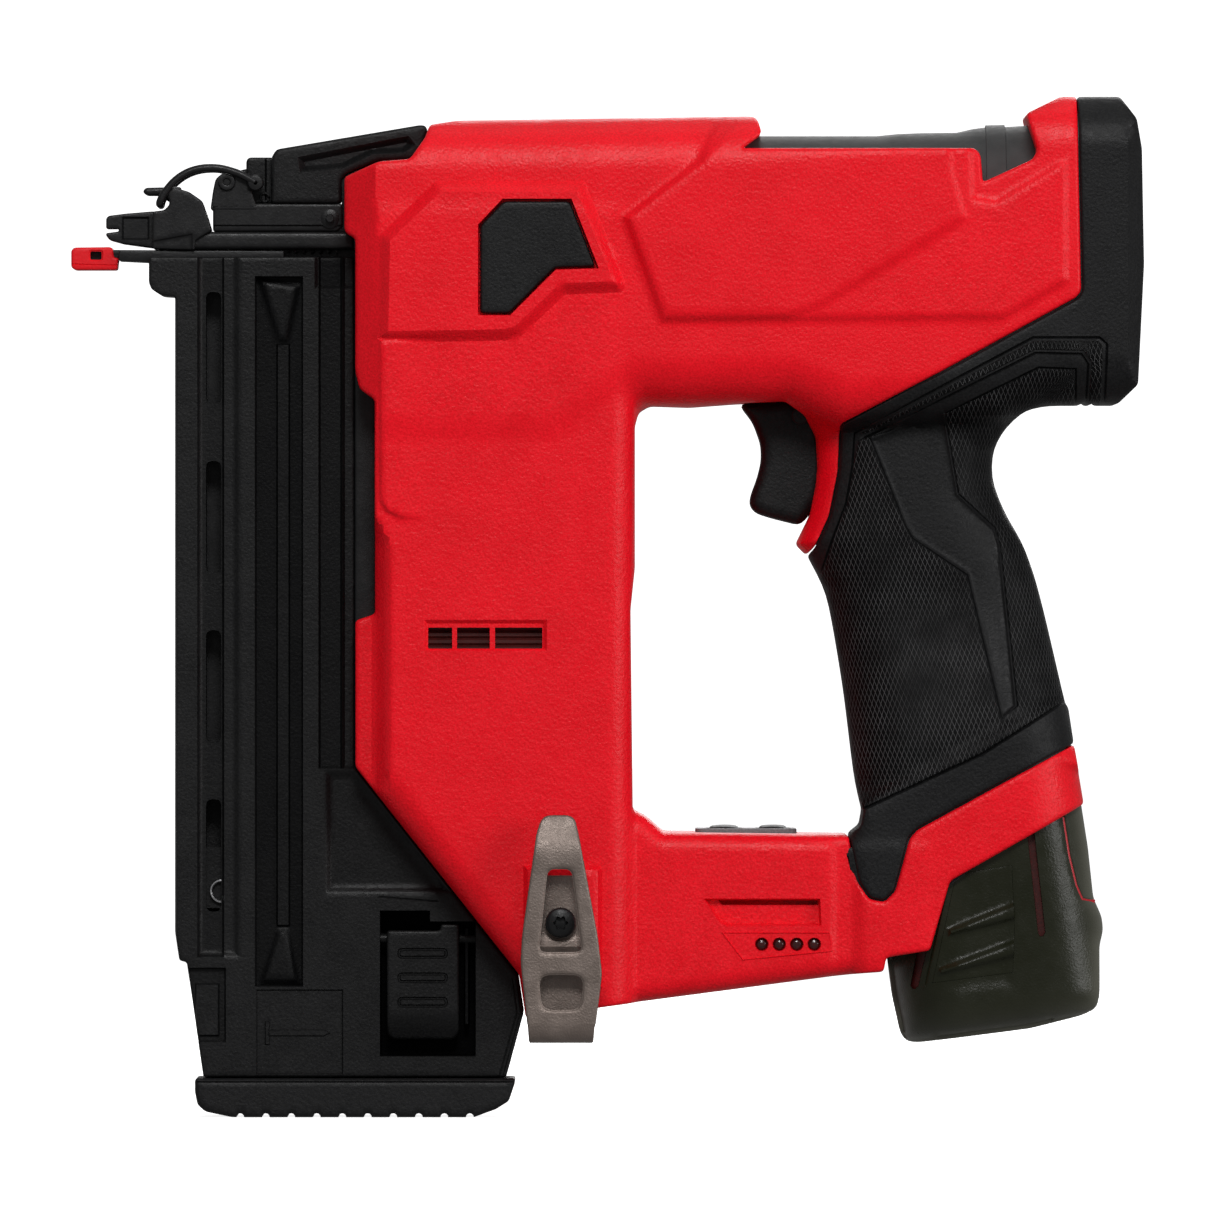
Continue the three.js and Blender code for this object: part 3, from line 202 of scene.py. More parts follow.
def soften(outline, radius, steps=3):
    """The closed outline with each corner rounded. A corner may carry a radius of its own."""
    rounded = []
    count = len(outline)
    for i in range(count):
        before, corner, after = (np.array(outline[(i + k) % count][:2], float) for k in (-1, 0, 1))
        size = outline[i][2] if len(outline[i]) > 2 else radius
        to_before, to_after = before - corner, after - corner
        reach_a = min(size, 0.48 * np.linalg.norm(to_before))
        reach_b = min(size, 0.48 * np.linalg.norm(to_after))
        start = corner + to_before / np.linalg.norm(to_before) * reach_a
        end = corner + to_after / np.linalg.norm(to_after) * reach_b
        for k in range(steps + 1):
            t = k / steps
            point = (1 - t) ** 2 * start + 2 * t * (1 - t) * corner + t * t * end
            rounded.append((point[0], point[1]))
    return rounded


def inset(outline, amount):
    """The closed outline moved inwards by a mitred offset."""
    points = [np.array(p, float) for p in outline]
    turn = 1 if area(outline) > 0 else -1
    moved = []
    for i, corner in enumerate(points):
        ahead = points[(i + 1) % len(points)] - corner
        behind = corner - points[i - 1]
        if np.linalg.norm(ahead) < 1e-9 or np.linalg.norm(behind) < 1e-9:
            continue
        normal_a = np.array((-ahead[1], ahead[0])) / np.linalg.norm(ahead) * turn
        normal_b = np.array((-behind[1], behind[0])) / np.linalg.norm(behind) * turn
        middle = normal_a + normal_b
        scale = min(2 / max(middle @ middle, 1e-6), 2.0)
        moved.append(tuple(corner + middle * scale * amount))
    return moved


def resample(path, pitch, closed):
    """Points along the path, never further apart than the pitch."""
    ends = path[1:] + path[:1] if closed else path[1:]
    points = []
    for (ax, az), (bx, bz) in zip(path, ends):
        count = max(1, math.ceil(math.hypot(bx - ax, bz - az) / pitch))
        points += [(ax + (bx - ax) * k / count, az + (bz - az) * k / count) for k in range(count)]
    return points if closed else points + [path[-1]]


def band(x0, x1, z0, z1):
    """An upright rectangle."""
    return [(x0, z0), (x1, z0), (x1, z1), (x0, z1)]


def circle(x, z, radius, count=20):
    """A circle of straight pieces."""
    return [
        (x + radius * math.cos(2 * math.pi * k / count), z + radius * math.sin(2 * math.pi * k / count))
        for k in range(count)
    ]


def star(x, z, outer, inner, lobes=6):
    """A rounded star, the socket of a screw."""
    steps = lobes * 6
    middle, swing = (outer + inner) / 2, (outer - inner) / 2
    return [
        (x + (middle + swing * math.cos(lobes * a)) * math.cos(a),
         z + (middle + swing * math.cos(lobes * a)) * math.sin(a))
        for a in (2 * math.pi * k / steps for k in range(steps))
    ]


def raked(u, v):
    """The x and z of a point that lies v up the battery's leaning axis and u behind it."""
    return (BATTERY_X + u * math.cos(RAKE) - v * math.sin(RAKE),
            BATTERY_Z + u * math.sin(RAKE) + v * math.cos(RAKE))


def dome(depth, reach, drop):
    """How far a surface has fallen, at a depth in from its rounded edge."""
    t = np.clip(1 - depth / reach, 0, 1)
    return drop * (1 - np.sqrt(1 - t * t))


def ease(t):
    """A smooth step from 0 to 1."""
    t = np.clip(t, 0, 1)
    return t * t * (3 - 2 * t)


def blend_max(a, b, width=2.0):
    """The larger of two heights, with a soft fillet where they meet."""
    return np.maximum(a, b) + np.maximum(width - np.abs(a - b), 0) ** 2 / (4 * width)


# ------------------------------------------------------------------ relief forms
class Form:
    """A moulded face: an outline, a base height, a rounded rim, raised or sunk areas and grooves.

    features: (outline, amount, bevel) and grooves: (path, depth, width), all in mm.
    folds are lines along which the base height has a crease.
    """

    def __init__(self, outline, base, rim=0.5, features=(), grooves=(), folds=()):
        self.outline, self.base, self.rim = outline, base, rim
        self.features, self.grooves, self.folds = list(features), list(grooves), list(folds)

    def height(self, points):
        """Height of the face above the middle plane at each point."""
        high = self.base(points) if callable(self.base) else np.full(len(points), float(self.base))
        high = high - dome(signed_distance(points, self.outline), self.rim, self.rim)
        for outline, amount, bevel in self.features:
            size = amount(points) if callable(amount) else amount
            high = high + size * ease(signed_distance(points, outline) / bevel)
        for path, depth, width in self.grooves:
            high = high - depth * (1 - ease(line_distance(points, path) / (width / 2)))
        return high

    def creases(self):
        """The lines that the mesh has to follow, and whether each is closed."""
        lines = [(inset(self.outline, self.rim * k), True) for k in (0.12, 0.5, 1)]
        lines += [(path, False) for path in self.folds]
        for outline, _, bevel in self.features:
            lines += [(inset(outline, bevel * k), True) for k in (0, 0.35, 0.65, 1)]
        for path, _, width in self.grooves:
            lines += [(path, False), (shift(path, width / 2), False), (shift(path, -width / 2), False)]
        return lines


def shift(path, amount):
    """An open path moved sideways."""
    points = np.asarray(path, float)
    along = np.gradient(points, axis=0)
    along /= np.linalg.norm(along, axis=1)[:, None] + 1e-9
    return [tuple(p) for p in points + np.column_stack((-along[:, 1], along[:, 0])) * amount]


def triangulate(outline, creases, holes, pitch):
    """Triangles inside the outline and outside its holes, following every crease."""
    coords, edges = [], []

    def add_path(path, closed):
        line = resample(path, pitch, closed)
        first = len(coords)
        coords.extend(line)
        edges.extend((first + k, first + k + 1) for k in range(len(line) - 1))
        if closed:
            edges.append((first + len(line) - 1, first))
        return list(range(first, first + len(line)))

    rim = add_path(outline, True)
    for path, closed in creases:
        add_path(path, closed)
    for hole in holes:
        add_path(hole, True)
    taken = {(round(x / pitch), round(z / pitch)) for x, z in coords}
    low, high = np.min(outline, axis=0), np.max(outline, axis=0)
    grid = [
        (ix * pitch, iz * pitch)
        for ix in range(math.floor(low[0] / pitch), math.ceil(high[0] / pitch) + 1)
        for iz in range(math.floor(low[1] / pitch), math.ceil(high[1] / pitch) + 1)
        if (ix, iz) not in taken
    ]
    if grid:
        free = np.array(grid)
        coords += [tuple(p) for p in free[signed_distance(free, outline) > 0.4 * pitch]]
    if area([coords[i] for i in rim]) < 0:
        rim.reverse()
    found = geometry.delaunay_2d_cdt([Vector(c) for c in coords], edges, [rim], 1, 1e-5)
    points = np.array([(v.x, v.y) for v in found[0]])
    triangles = np.array([f for f in found[2] if len(f) == 3])
    middle = points[triangles].mean(axis=1)
    keep = signed_distance(middle, outline) > 0
    for hole in holes:
        keep &= signed_distance(middle, hole) < 0
    triangles = triangles[keep]
    corners = points[triangles]
    side_a, side_b = corners[:, 1] - corners[:, 0], corners[:, 2] - corners[:, 0]
    twice = side_a[:, 0] * side_b[:, 1] - side_a[:, 1] * side_b[:, 0]
    triangles = triangles[np.abs(twice) > 1e-7]
    twice = twice[np.abs(twice) > 1e-7]
    triangles[twice < 0] = triangles[twice < 0][:, ::-1]
    return points, triangles


def rim_edges(triangles):
    """Edges that belong to one triangle, in that triangle's direction."""
    directed = {(int(t[k]), int(t[(k + 1) % 3])) for t in triangles for k in range(3)}
    return [(a, b) for a, b in directed if (b, a) not in directed]


def relief(form, floor, side=-1, holes=(), pitch=None, place=None, marks=None, closed=False):
    """A mesh of the form's face on one side (-1 is -Y), with walls down to the floor.

    floor is a depth in mm, or a function of the points and their heights. With closed, the floor is
    meshed too. marks gives named values for each point and its depth below the face.
    """
    pitch = pitch or PITCH
    points, triangles = triangulate(form.outline, form.creases(), holes, pitch)
    high = form.height(points)
    low = floor(points, high) if callable(floor) else np.full(len(points), float(floor))
    rim = rim_edges(triangles)
    count = len(points)
    all_points = np.vstack((points, points))
    heights = np.concatenate((high, low))
    faces = [tuple(t) for t in triangles.tolist()]
    faces += [(a, a + count, b + count, b) for a, b in rim]
    if closed:
        faces += [tuple(i + count for i in reversed(t)) for t in triangles.tolist()]
    if side > 0:
        faces = [tuple(reversed(f)) for f in faces]
    put = place or (lambda p, h: np.column_stack((p[:, 0], side * h, p[:, 1])))
    mesh = bpy.data.meshes.new("relief")
    mesh.from_pydata((put(all_points, heights) * MM).tolist(), [], faces)
    if marks:
        below = np.concatenate((np.zeros(count), high - low))
        for label, values in marks(all_points, below).items():
            mesh.attributes.new(label, "FLOAT", "POINT").data.foreach_set("value", values)
    return finish_mesh(mesh)


def finish_mesh(mesh, sharp=34):
    """Drops loose points and slivers, and shades smooth up to an angle."""
    bm = bmesh.new()
    bm.from_mesh(mesh)
    bmesh.ops.delete(bm, geom=[v for v in bm.verts if not v.link_faces], context="VERTS")
    bmesh.ops.dissolve_degenerate(bm, dist=1e-7, edges=bm.edges)
    bm.to_mesh(mesh)
    bm.free()
    mesh.shade_smooth()
    mesh.set_sharp_from_angle(angle=math.radians(sharp))
    return mesh


def solid(form, pitch=None, holes=()):
    """The form mirrored on the middle plane, as one closed body."""
    return relief(form, lambda points, high: -high, holes=holes, pitch=pitch, closed=True)


def pair(form, floor, **options):
    """A closed body of the form on each side of the middle plane."""
    return [relief(form, floor, side, closed=True, **options) for side, _ in SIDES]


def shell(thickness):
    """A floor that lies a wall's thickness under the face."""
    return lambda points, high: high - thickness


def on_top(points, heights):
    """Places a relief drawn in x and y, standing along z."""
    return np.column_stack((points[:, 0], points[:, 1], heights))


def lathe(profile, centre, axis="x", count=72):
    """A turned mesh: profile points are (along, radius) in mm, round an axis through the centre."""
    cx, cy, cz = centre
    verts = []
    for along, radius in profile:
        for k in range(count):
            a = 2 * math.pi * k / count
            c, s = radius * math.cos(a), radius * math.sin(a)
            verts.append({
                "x": (cx + along, cy + c, cz + s),
                "y": (cx + s, cy + along, cz + c),
                "z": (cx + c, cy + s, cz + along),
            }[axis])
    mesh = new_mesh(verts, ring_faces(len(profile), count))
    return face_outwards(mesh, sharp=40, fill=True)


def loft(rings):
    """A skin over rings of equal length, closed at both ends. Points are in mm."""
    size = len(rings[0])
    ends = [tuple(range(size)), tuple(range((len(rings) - 1) * size, len(rings) * size))]
    mesh = new_mesh([point for ring in rings for point in ring], ends + ring_faces(len(rings), size))
    return face_outwards(mesh, sharp=36)


def loft_open(rings):
    """A skin over rings, left open at both ends."""
    mesh = new_mesh([point for ring in rings for point in ring], ring_faces(len(rings), len(rings[0])))
    return finish_mesh(mesh)


def new_mesh(points, faces):
    """A mesh of points in mm."""
    mesh = bpy.data.meshes.new("part")
    mesh.from_pydata([tuple(c * MM for c in point) for point in points], [], faces)
    return mesh


def ring_faces(rows, size):
    """Four-sided faces between neighbouring rings of points."""
    faces = []
    for row in range(rows - 1):
        for k in range(size):
            a, b = row * size + k, row * size + (k + 1) % size
            faces.append((a, b, b + size, a + size))
    return faces


def face_outwards(mesh, sharp, fill=False):
    """Turns every face outwards, closing open ends first if asked."""
    bm = bmesh.new()
    bm.from_mesh(mesh)
    if fill:
        bmesh.ops.holes_fill(bm, edges=bm.edges, sides=0)
    bmesh.ops.recalc_face_normals(bm, faces=bm.faces)
    bm.to_mesh(mesh)
    bm.free()
    return finish_mesh(mesh, sharp)


def tube(points, radius, count=14, steps=6):
    """A round wire through the points, smoothed, with rounded ends."""
    path = smooth_path([Vector(p) for p in points], steps)
    rings = []
    normal = Vector((0, 0, 1))
    for i, point in enumerate(path):
        along = (path[min(i + 1, len(path) - 1)] - path[max(i - 1, 0)]).normalized()
        normal = (normal - along * normal.dot(along))
        normal = normal.normalized() if normal.length > 1e-4 else along.orthogonal().normalized()
        across = along.cross(normal)
        size = radius * (0.55 if i in (0, len(path) - 1) else 1)
        rings.append([
            tuple(point + (normal * math.cos(a) + across * math.sin(a)) * size)
            for a in (2 * math.pi * k / count for k in range(count))
        ])
    return loft(rings)


def smooth_path(points, steps):
    """Catmull-Rom points through the given ones."""
    path = []
    for i in range(len(points) - 1):
        p0, p1, p2 = points[max(i - 1, 0)], points[i], points[i + 1]
        p3 = points[min(i + 2, len(points) - 1)]
        for k in range(steps):
            t = k / steps
            square = 2 * p0 - 5 * p1 + 4 * p2 - p3
            cube = 3 * p1 - p0 - 3 * p2 + p3
            path.append(0.5 * ((2 * p1) + (p2 - p0) * t + square * t * t + cube * t ** 3))
    return path + [points[-1]]


def joined(*meshes):
    """Several meshes as one."""
    bm = bmesh.new()
    for mesh in meshes:
        bm.from_mesh(mesh)
    result = bpy.data.meshes.new("joined")
    bm.to_mesh(result)
    bm.free()
    result.shade_smooth()
    result.set_sharp_from_angle(angle=math.radians(36))
    return result


# ------------------------------------------------------------------ materials
class Nodes:
    """A small helper that adds nodes to one material."""

    def __init__(self, name):
        self.material = bpy.data.materials.new(name)
        self.material.use_nodes = True
        self.tree = self.material.node_tree
        self.shader = self.tree.nodes["Principled BSDF"]
        self.place = self.add("ShaderNodeTexCoord").outputs["Object"]

    def add(self, kind, **settings):
        node = self.tree.nodes.new(kind)
        for key, value in settings.items():
            setattr(node, key, value)
        return node

    def wire(self, source, target):
        """Links a socket to the target, or gives the target a plain value."""
        if isinstance(source, bpy.types.NodeSocket):
            self.tree.links.new(source, target)
        else:
            target.default_value = source

    def put(self, name, value):
        """Sets one input of the shader."""
        self.wire(value, self.shader.inputs[name])

    def colour(self):
        """The socket that gives the base colour."""
        return self.shader.inputs["Base Color"].links[0].from_socket

    def mark(self, name):
        """A value that the mesh carries for each point."""
        return self.add("ShaderNodeAttribute", attribute_name=name).outputs["Fac"]

    def maths(self, operation, a, b=0.0, clamp=False):
        node = self.add("ShaderNodeMath", operation=operation, use_clamp=clamp)
        self.wire(a, node.inputs[0])
        self.wire(b, node.inputs[1])
        return node.outputs[0]

    def noise(self, size_mm, detail=3.0, stretch=(1, 1, 1)):
        """Noise whose grains are about size_mm across."""
        mapping = self.add("ShaderNodeMapping")
        mapping.inputs["Scale"].default_value = stretch
        self.wire(self.place, mapping.inputs["Vector"])
        node = self.add("ShaderNodeTexNoise")
        node.inputs["Scale"].default_value = 1 / (size_mm * MM)
        node.inputs["Detail"].default_value = detail
        self.wire(mapping.outputs["Vector"], node.inputs["Vector"])
        return node.outputs["Fac"]

    def spread(self, value, low, high):
        """Maps a value of about 0.3 to 0.7 onto low to high."""
        node = self.add("ShaderNodeMapRange")
        self.wire(value, node.inputs["Value"])
        for key, number in (("From Min", 0.3), ("From Max", 0.7), ("To Min", low), ("To Max", high)):
            node.inputs[key].default_value = number
        return node.outputs["Result"]

    def mix(self, factor, a, b):
        """A colour between a and b."""
        node = self.add("ShaderNodeMix", data_type="RGBA")
        self.wire(factor, node.inputs["Factor"])
        for colour, socket in ((a, node.inputs[6]), (b, node.inputs[7])):
            self.wire((*colour, 1) if isinstance(colour, tuple) else colour, socket)
        return node.outputs[2]

    def bump(self, height, distance_mm, normal=None):
        """A normal that is tilted by the height, on top of another one if given."""
        node = self.add("ShaderNodeBump")
        node.inputs["Distance"].default_value = distance_mm * MM
        node.inputs["Strength"].default_value = 1.0
        self.wire(height, node.inputs["Height"])
        if normal:
            self.wire(normal, node.inputs["Normal"])
        return node.outputs["Normal"]


def moulded(name, dark, light, rough, grain_mm=0.35, grain_depth=0.03, gloss=0.3):
    """Moulded plastic or rubber: fine spark-eroded grain, slow colour drift and uneven gloss."""
    n = Nodes(name)
    drift = n.spread(n.noise(14, 2), -0.2, 0.2)
    speckle = n.maths("ADD", drift, n.spread(n.noise(0.45, 1), 0, 1), clamp=True)
    n.put("Base Color", n.mix(speckle, dark, light))
    n.put("Roughness", n.spread(n.noise(3.5, 4), *rough))
    n.put("Specular IOR Level", gloss)
    n.grain = n.bump(n.noise(grain_mm, 2), grain_depth)
    n.put("Normal", n.grain)
    return n


def metal(name, dark, light, rough, brushed=(1, 1, 1), grain_mm=0.25, depth=0.01, metallic=1.0, gloss=0.5):
    """Metal with a fine blasted or brushed grain and faint handling marks."""
    n = Nodes(name)
    n.put("Specular IOR Level", gloss)
    n.put("Base Color", n.mix(n.spread(n.noise(5, 4), 0, 1), dark, light))
    n.put("Metallic", metallic)
    n.put("Roughness", n.spread(n.noise(1.8, 4, brushed), *rough))
    n.put("Normal", n.bump(n.noise(grain_mm, 2, brushed), depth))
    return n.material


def red_plastic():
    dark, light = (0.66, 0.0012, 0.007), (0.86, 0.0035, 0.014)
    return moulded("red_housing", dark, light, (0.36, 0.48), 0.8, 0.16, 0.22).material


def black_plastic():
    """Black moulding, darker and duller in its pockets: painted shade, set by how deep each point lies."""
    # the third colour here is the painted shade of the pockets
    dark, light, sunk = (0.0020, 0.0020, 0.0023), (0.0078, 0.0079, 0.0082), (0.0008, 0.0008, 0.0010)
    gloss, gloss_lost = 0.22, 0.19
    n = moulded("black_plastic", dark, light, (0.40, 0.52), 0.7, 0.10, gloss)
    recess = n.mark("recess")
    # painted shade: the pockets take a near-black colour by their depth
    n.put("Base Color", n.mix(recess, n.colour(), sunk))
    n.put("Specular IOR Level", n.maths("SUBTRACT", gloss, n.maths("MULTIPLY", recess, gloss_lost)))
    return n.material


def black_rubber():
    dark, light = (0.0020, 0.0020, 0.0024), (0.0068, 0.0068, 0.0072)
    return moulded("black_rubber", dark, light, (0.45, 0.6), 0.7, 0.1, 0.25).material


def red_rubber():
    dark, light = (0.66, 0.003, 0.008), (0.76, 0.005, 0.012)
    return moulded("red_rubber", dark, light, (0.42, 0.55), 0.6, 0.06, 0.25).material


def grip_rubber():
    """Overmoulded rubber, cut in steep diamonds where it carries the knurl mark; the knurled area is
    coloured darker and its ridges get a patchy painted highlight.
    """
    dark, light = (0.0024, 0.0024, 0.0027), (0.0088, 0.0088, 0.0092)
    # the second colour on the next line is the painted highlight of the knurl's ridges
    groove, painted_ridge_highlight = (0.0006, 0.0006, 0.0008), (0.15, 0.15, 0.152)
    gloss, gloss_lost = 0.2, 0.1
    n = moulded("grip_rubber", dark, light, (0.44, 0.58), 0.8, 0.12, gloss)
    knurl = n.mark("knurl")
    ridges = cut_diamonds(n, knurl)
    # painted highlight: the knurl's ridges are lightened, patchy by noise
    ridge_highlight = n.maths("MULTIPLY", ridges, n.spread(n.noise(9, 2), 0.3, 1.0))
    n.put("Base Color", n.mix(ridge_highlight, n.mix(knurl, n.colour(), groove), painted_ridge_highlight))
    n.put("Specular IOR Level", n.maths("SUBTRACT", gloss, n.maths("MULTIPLY", knurl, gloss_lost)))
    n.put("Normal", n.bump(ridges, 0.14, n.grain))
    return n.material


def cut_diamonds(n, knurl):
    """Ridges of two crossing families of lines, a diamond across and a diamond up apart."""
    diamond_across, diamond_up = 1.1, 2.6
    half_ridge = 0.08       # as a part of the spacing
    across = n.maths("DIVIDE", n.mark("wrap"), diamond_across)
    separate = n.add("ShaderNodeSeparateXYZ")
    n.wire(n.place, separate.inputs["Vector"])
    along = n.maths("DIVIDE", separate.outputs["Z"], diamond_up * MM)

    def ridge(value):
        near = n.maths("PINGPONG", value, 0.5)
        return n.maths("SUBTRACT", 1.0, n.maths("DIVIDE", near, half_ridge), clamp=True)

    rising = ridge(n.maths("ADD", across, along))
    falling = ridge(n.maths("SUBTRACT", across, along))
    return n.maths("MULTIPLY", n.maths("MAXIMUM", rising, falling), knurl)


def smoked_plastic():
    """Glossy smoke-tinted case, paler near its outline (the thin mark): painted light standing in for light
    let through where the wall is seen edge-on.
    """
    n = Nodes("battery_smoke")
    cloud = n.spread(n.noise(9, 3), 0.0, 0.04)
    # painted light: the case turns paler towards its outline
    amount = n.maths("ADD", n.maths("MULTIPLY", n.mark("thin"), 0.8), cloud, clamp=True)
    n.put("Base Color", n.mix(amount, (0.0085, 0.0097, 0.0035), (0.125, 0.124, 0.100)))
    n.put("Roughness", n.spread(n.noise(2.5, 4), 0.26, 0.38))
    n.put("Normal", n.bump(n.noise(0.55, 2), 0.07))
    n.put("Specular IOR Level", 0.22)
    return n.material


def dark_lens():
    """Glossy dark red lens of the fuel gauge."""
    n = Nodes("gauge_lens")
    cloud = n.spread(n.noise(0.8, 3), 0, 1)
    n.put("Base Color", n.mix(cloud, (0.012, 0.0015, 0.0015), (0.05, 0.004, 0.004)))
    n.put("Roughness", n.spread(n.noise(0.5, 3), 0.12, 0.25))
    n.put("Normal", n.bump(n.noise(0.7, 2), 0.05))
    return n.material


def circuit_board():
    dark, light = (0.008, 0.05, 0.02), (0.014, 0.09, 0.035)
    return moulded("circuit_board", dark, light, (0.3, 0.45), 0.8, 0.02).material


def label_film():
    dark, light = (0.10, 0.10, 0.105), (0.15, 0.15, 0.155)
    return moulded("panel_label", dark, light, (0.35, 0.5), 0.3, 0.015).material


def accent_paint():
    dark, light = (0.30, 0.006, 0.012), (0.42, 0.01, 0.02)
    return moulded("accent_paint", dark, light, (0.3, 0.45), 0.5, 0.02).material


def shaded_slot_red():
    # red darkened as painted shade, for red mouldings seen deep in slots
    dark, light = (0.030, 0.003, 0.002), (0.055, 0.005, 0.004)
    return moulded("shaded_slot_red", dark, light, (0.4, 0.55), 0.5, 0.02).material


def black_steel():
    return metal("black_steel", (0.0065, 0.0065, 0.007), (0.011, 0.011, 0.0115), (0.34, 0.46),
                 grain_mm=0.6, depth=0.05, metallic=0.15, gloss=0.3)


def bright_steel():
    return metal("bright_steel", (0.42, 0.42, 0.43), (0.56, 0.56, 0.57), (0.2, 0.36), brushed=(1, 6, 1))


def hook_steel():
    return metal("hook_steel", (0.150, 0.118, 0.101), (0.215, 0.172, 0.150), (0.42, 0.54),
                 grain_mm=0.45, depth=0.11, metallic=0.55)


def aluminium():
    return metal("aluminium", (0.5, 0.5, 0.51), (0.64, 0.64, 0.65), (0.35, 0.5))


def tank_coating():
    return metal("tank_coating", (0.045, 0.046, 0.046), (0.060, 0.061, 0.061), (0.48, 0.58),
                 grain_mm=0.4, depth=0.03, metallic=0.0, gloss=0.15)


def brass():
    return metal("brass", (0.5, 0.34, 0.10), (0.62, 0.44, 0.16), (0.22, 0.38))


def motor_windings():
    return metal("motor_windings", (0.36, 0.13, 0.05), (0.5, 0.2, 0.08), (0.3, 0.45), brushed=(1, 1, 8))


MATERIALS = {
    "red_housing": red_plastic(),
    "grip_rubber": grip_rubber(),
    "black_plastic": black_plastic(),
    "black_rubber": black_rubber(),
    "red_rubber": red_rubber(),
    "black_steel": black_steel(),
    "bright_steel": bright_steel(),
    "hook_steel": hook_steel(),
    "aluminium": aluminium(),
    "tank_coating": tank_coating(),
    "brass": brass(),
    "motor_windings": motor_windings(),
    "circuit_board": circuit_board(),
    "panel_label": label_film(),
    "gauge_lens": dark_lens(),
    "battery_smoke": smoked_plastic(),
}
ACCENT = accent_paint()
SLOT_RED = shaded_slot_red()


def show(name, data):
    """A new object in the scene."""
    thing = bpy.data.objects.new(name, data)
    bpy.context.scene.collection.objects.link(thing)
    return thing


def add(name, mesh, body, slot, replaced=(), material=None):
    """Shows a mesh as a piece that moves with a body."""
    piece = show(name, mesh)
    mesh.name = name
    mesh.materials.clear()
    mesh.materials.append(material or MATERIALS[slot])
    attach(piece, body)
    if replaced:
        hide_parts(*replaced)


def plate(name, outline, half, body, slot, replaced=(), rim=0.5, grooves=(), pitch=None):
    """A piece that is the same on both sides of the middle plane."""
    add(name, solid(Form(outline, half, rim, grooves=grooves), pitch), body, slot, replaced)


# ------------------------------------------------------------------ housing
COLUMN = [(-8, 92), (-8, 213), (66, 213), (65.5, 120), (65.5, 12), (40.8, 12), (39, 33)]
BARREL = [
    (-12, 150), (-12, 228.5), (25, 228.6), (93, 229.6), (163, 234.2), (196, 234.2), (196, 163.4),
    (160, 163.4), (150, 160), (112, 158), (100, 163.5), (78, 163), (68, 163.2), (60, 158), (50, 150),
]
HANDLE = [
    (100, 170), (104.5, 161), (107, 156), (107.5, 149), (106.5, 143), (104.5, 136), (102.5, 131.5),
    (105, 129), (109.4, 121), (111, 113), (113.5, 98), (116, 77.5), (114, 60), (170, 80), (166, 86),
    (164, 96), (159.5, 115), (157.5, 123.5), (154.6, 132), (150.5, 138.5), (147.4, 146), (147.5, 153),
    (150.5, 158), (156, 162.5), (168, 172), (168, 192), (110, 192),
]
BASE = [
    (36, 36), (39, 33), (40.5, 23), (57.5, 25.5), (110.5, 32.5), (117, 33), (135, 33), (135, 64.8),
    (72, 65.5), (66, 71), (50, 72),
]
SEAT = [(40.8, 30.5), (40.8, 57.4), (57.2, 57.4), (57.2, 30.5)]
COLLAR_SIDES = [((171, 57), (165.1, 92)), ((168.5, 99.5), (112, 69.5)), ((115.2, 80), (115.2, 20))]
HAND_CENTRE = ((133, 158), (141, 70))   # middle line of the grip, from top to bottom
BARREL_HALF, COLUMN_HALF, FLANGE_HALF = 28.8, 28.3, 22.3
BASE_HALF, COLLAR_HALF, SEAT_HALF = 24, 24.2, 31
HANDLE_ROUND = (17.5, 15, 10.5)         # half width of the grip, reach and drop of its rounding
MOUTH_LINE = ((137.4, 54), (168.5, 72))     # lower edge of the battery's sleeve
WALL, PARTING = 2.6, 0.15               # thickness of a moulding, and where it stops at the middle
FRONT_FOLD, REAR_FOLD = 6.2, 178.2      # x of the chamfers at the nose end and on the rear cap
FLARE_TOP, FLARE_FOOT = 64, 24          # where the grip widens, measured up the leaning axis


def volume(points, outline, half, reach, drop, fall=5.0):
    """A rounded body seen from the side: half wide, falling away near and beyond its outline."""
    depth = signed_distance(points, outline)
    return half - dome(depth, reach, drop) + np.minimum(depth, 0) * fall


def collar_height(points):
    """The leaning sleeve that takes the battery, rounded at the back and at its top."""
    back, top, front = (plane_distance(points, a, b) for a, b in COLLAR_SIDES)
    high = COLLAR_HALF - dome(back, 15, 13) - dome(top, 4, 1.6) - dome(front, 5, 3)
    for depth, fall in ((back, 5), (top, 2), (front, 3)):
        high = high + np.minimum(depth, 0) * fall
    return high


def flange_height(points):
    """The column's front edge, narrow low down and wider to the back and the top."""
    behind = ease((points[:, 0] - 5.0) / 5.0)
    upper = ease((points[:, 1] - 130) / 12)
    return FLANGE_HALF + 6 * behind + 7 * upper


def form_height(points):
    """Half width of the whole housing at each point of its side view."""
    x, z = points[:, 0], points[:, 1]
    along = (z - BATTERY_Z) * math.cos(RAKE) - (x - BATTERY_X) * math.sin(RAKE)
    flare = ease((FLARE_TOP - along) / (FLARE_TOP - FLARE_FOOT))
    high = volume(points, COLUMN, COLUMN_HALF, 7, 7)
    high = blend_max(high, volume(points, BARREL, BARREL_HALF, 12, 12), 2)
    high = blend_max(high, volume(points, HANDLE, *HANDLE_ROUND) + 5.4 * flare, 6)
    high = blend_max(high, volume(points, BASE, BASE_HALF, 4, 4), 3)
    high = blend_max(high, collar_height(points), 2)
    high = np.maximum(high, volume(points, SEAT, SEAT_HALF, 1.2, 1.2, 3))
    high = np.where(x < 12, np.minimum(high, flange_height(points)), high)
    front = BARREL_HALF - 0.75 * (FRONT_FOLD - x)
    rear = BARREL_HALF - 1.1 * (x - REAR_FOLD)
    high = np.where(x < FRONT_FOLD, np.minimum(high, front), high)
    return np.where(x > REAR_FOLD, np.minimum(high, rear), high)


def spine_rise(points):
    """The spine panel stands proud at the front and runs out towards the back."""
    return 0.9 * ease((19 - points[:, 0]) / 10)


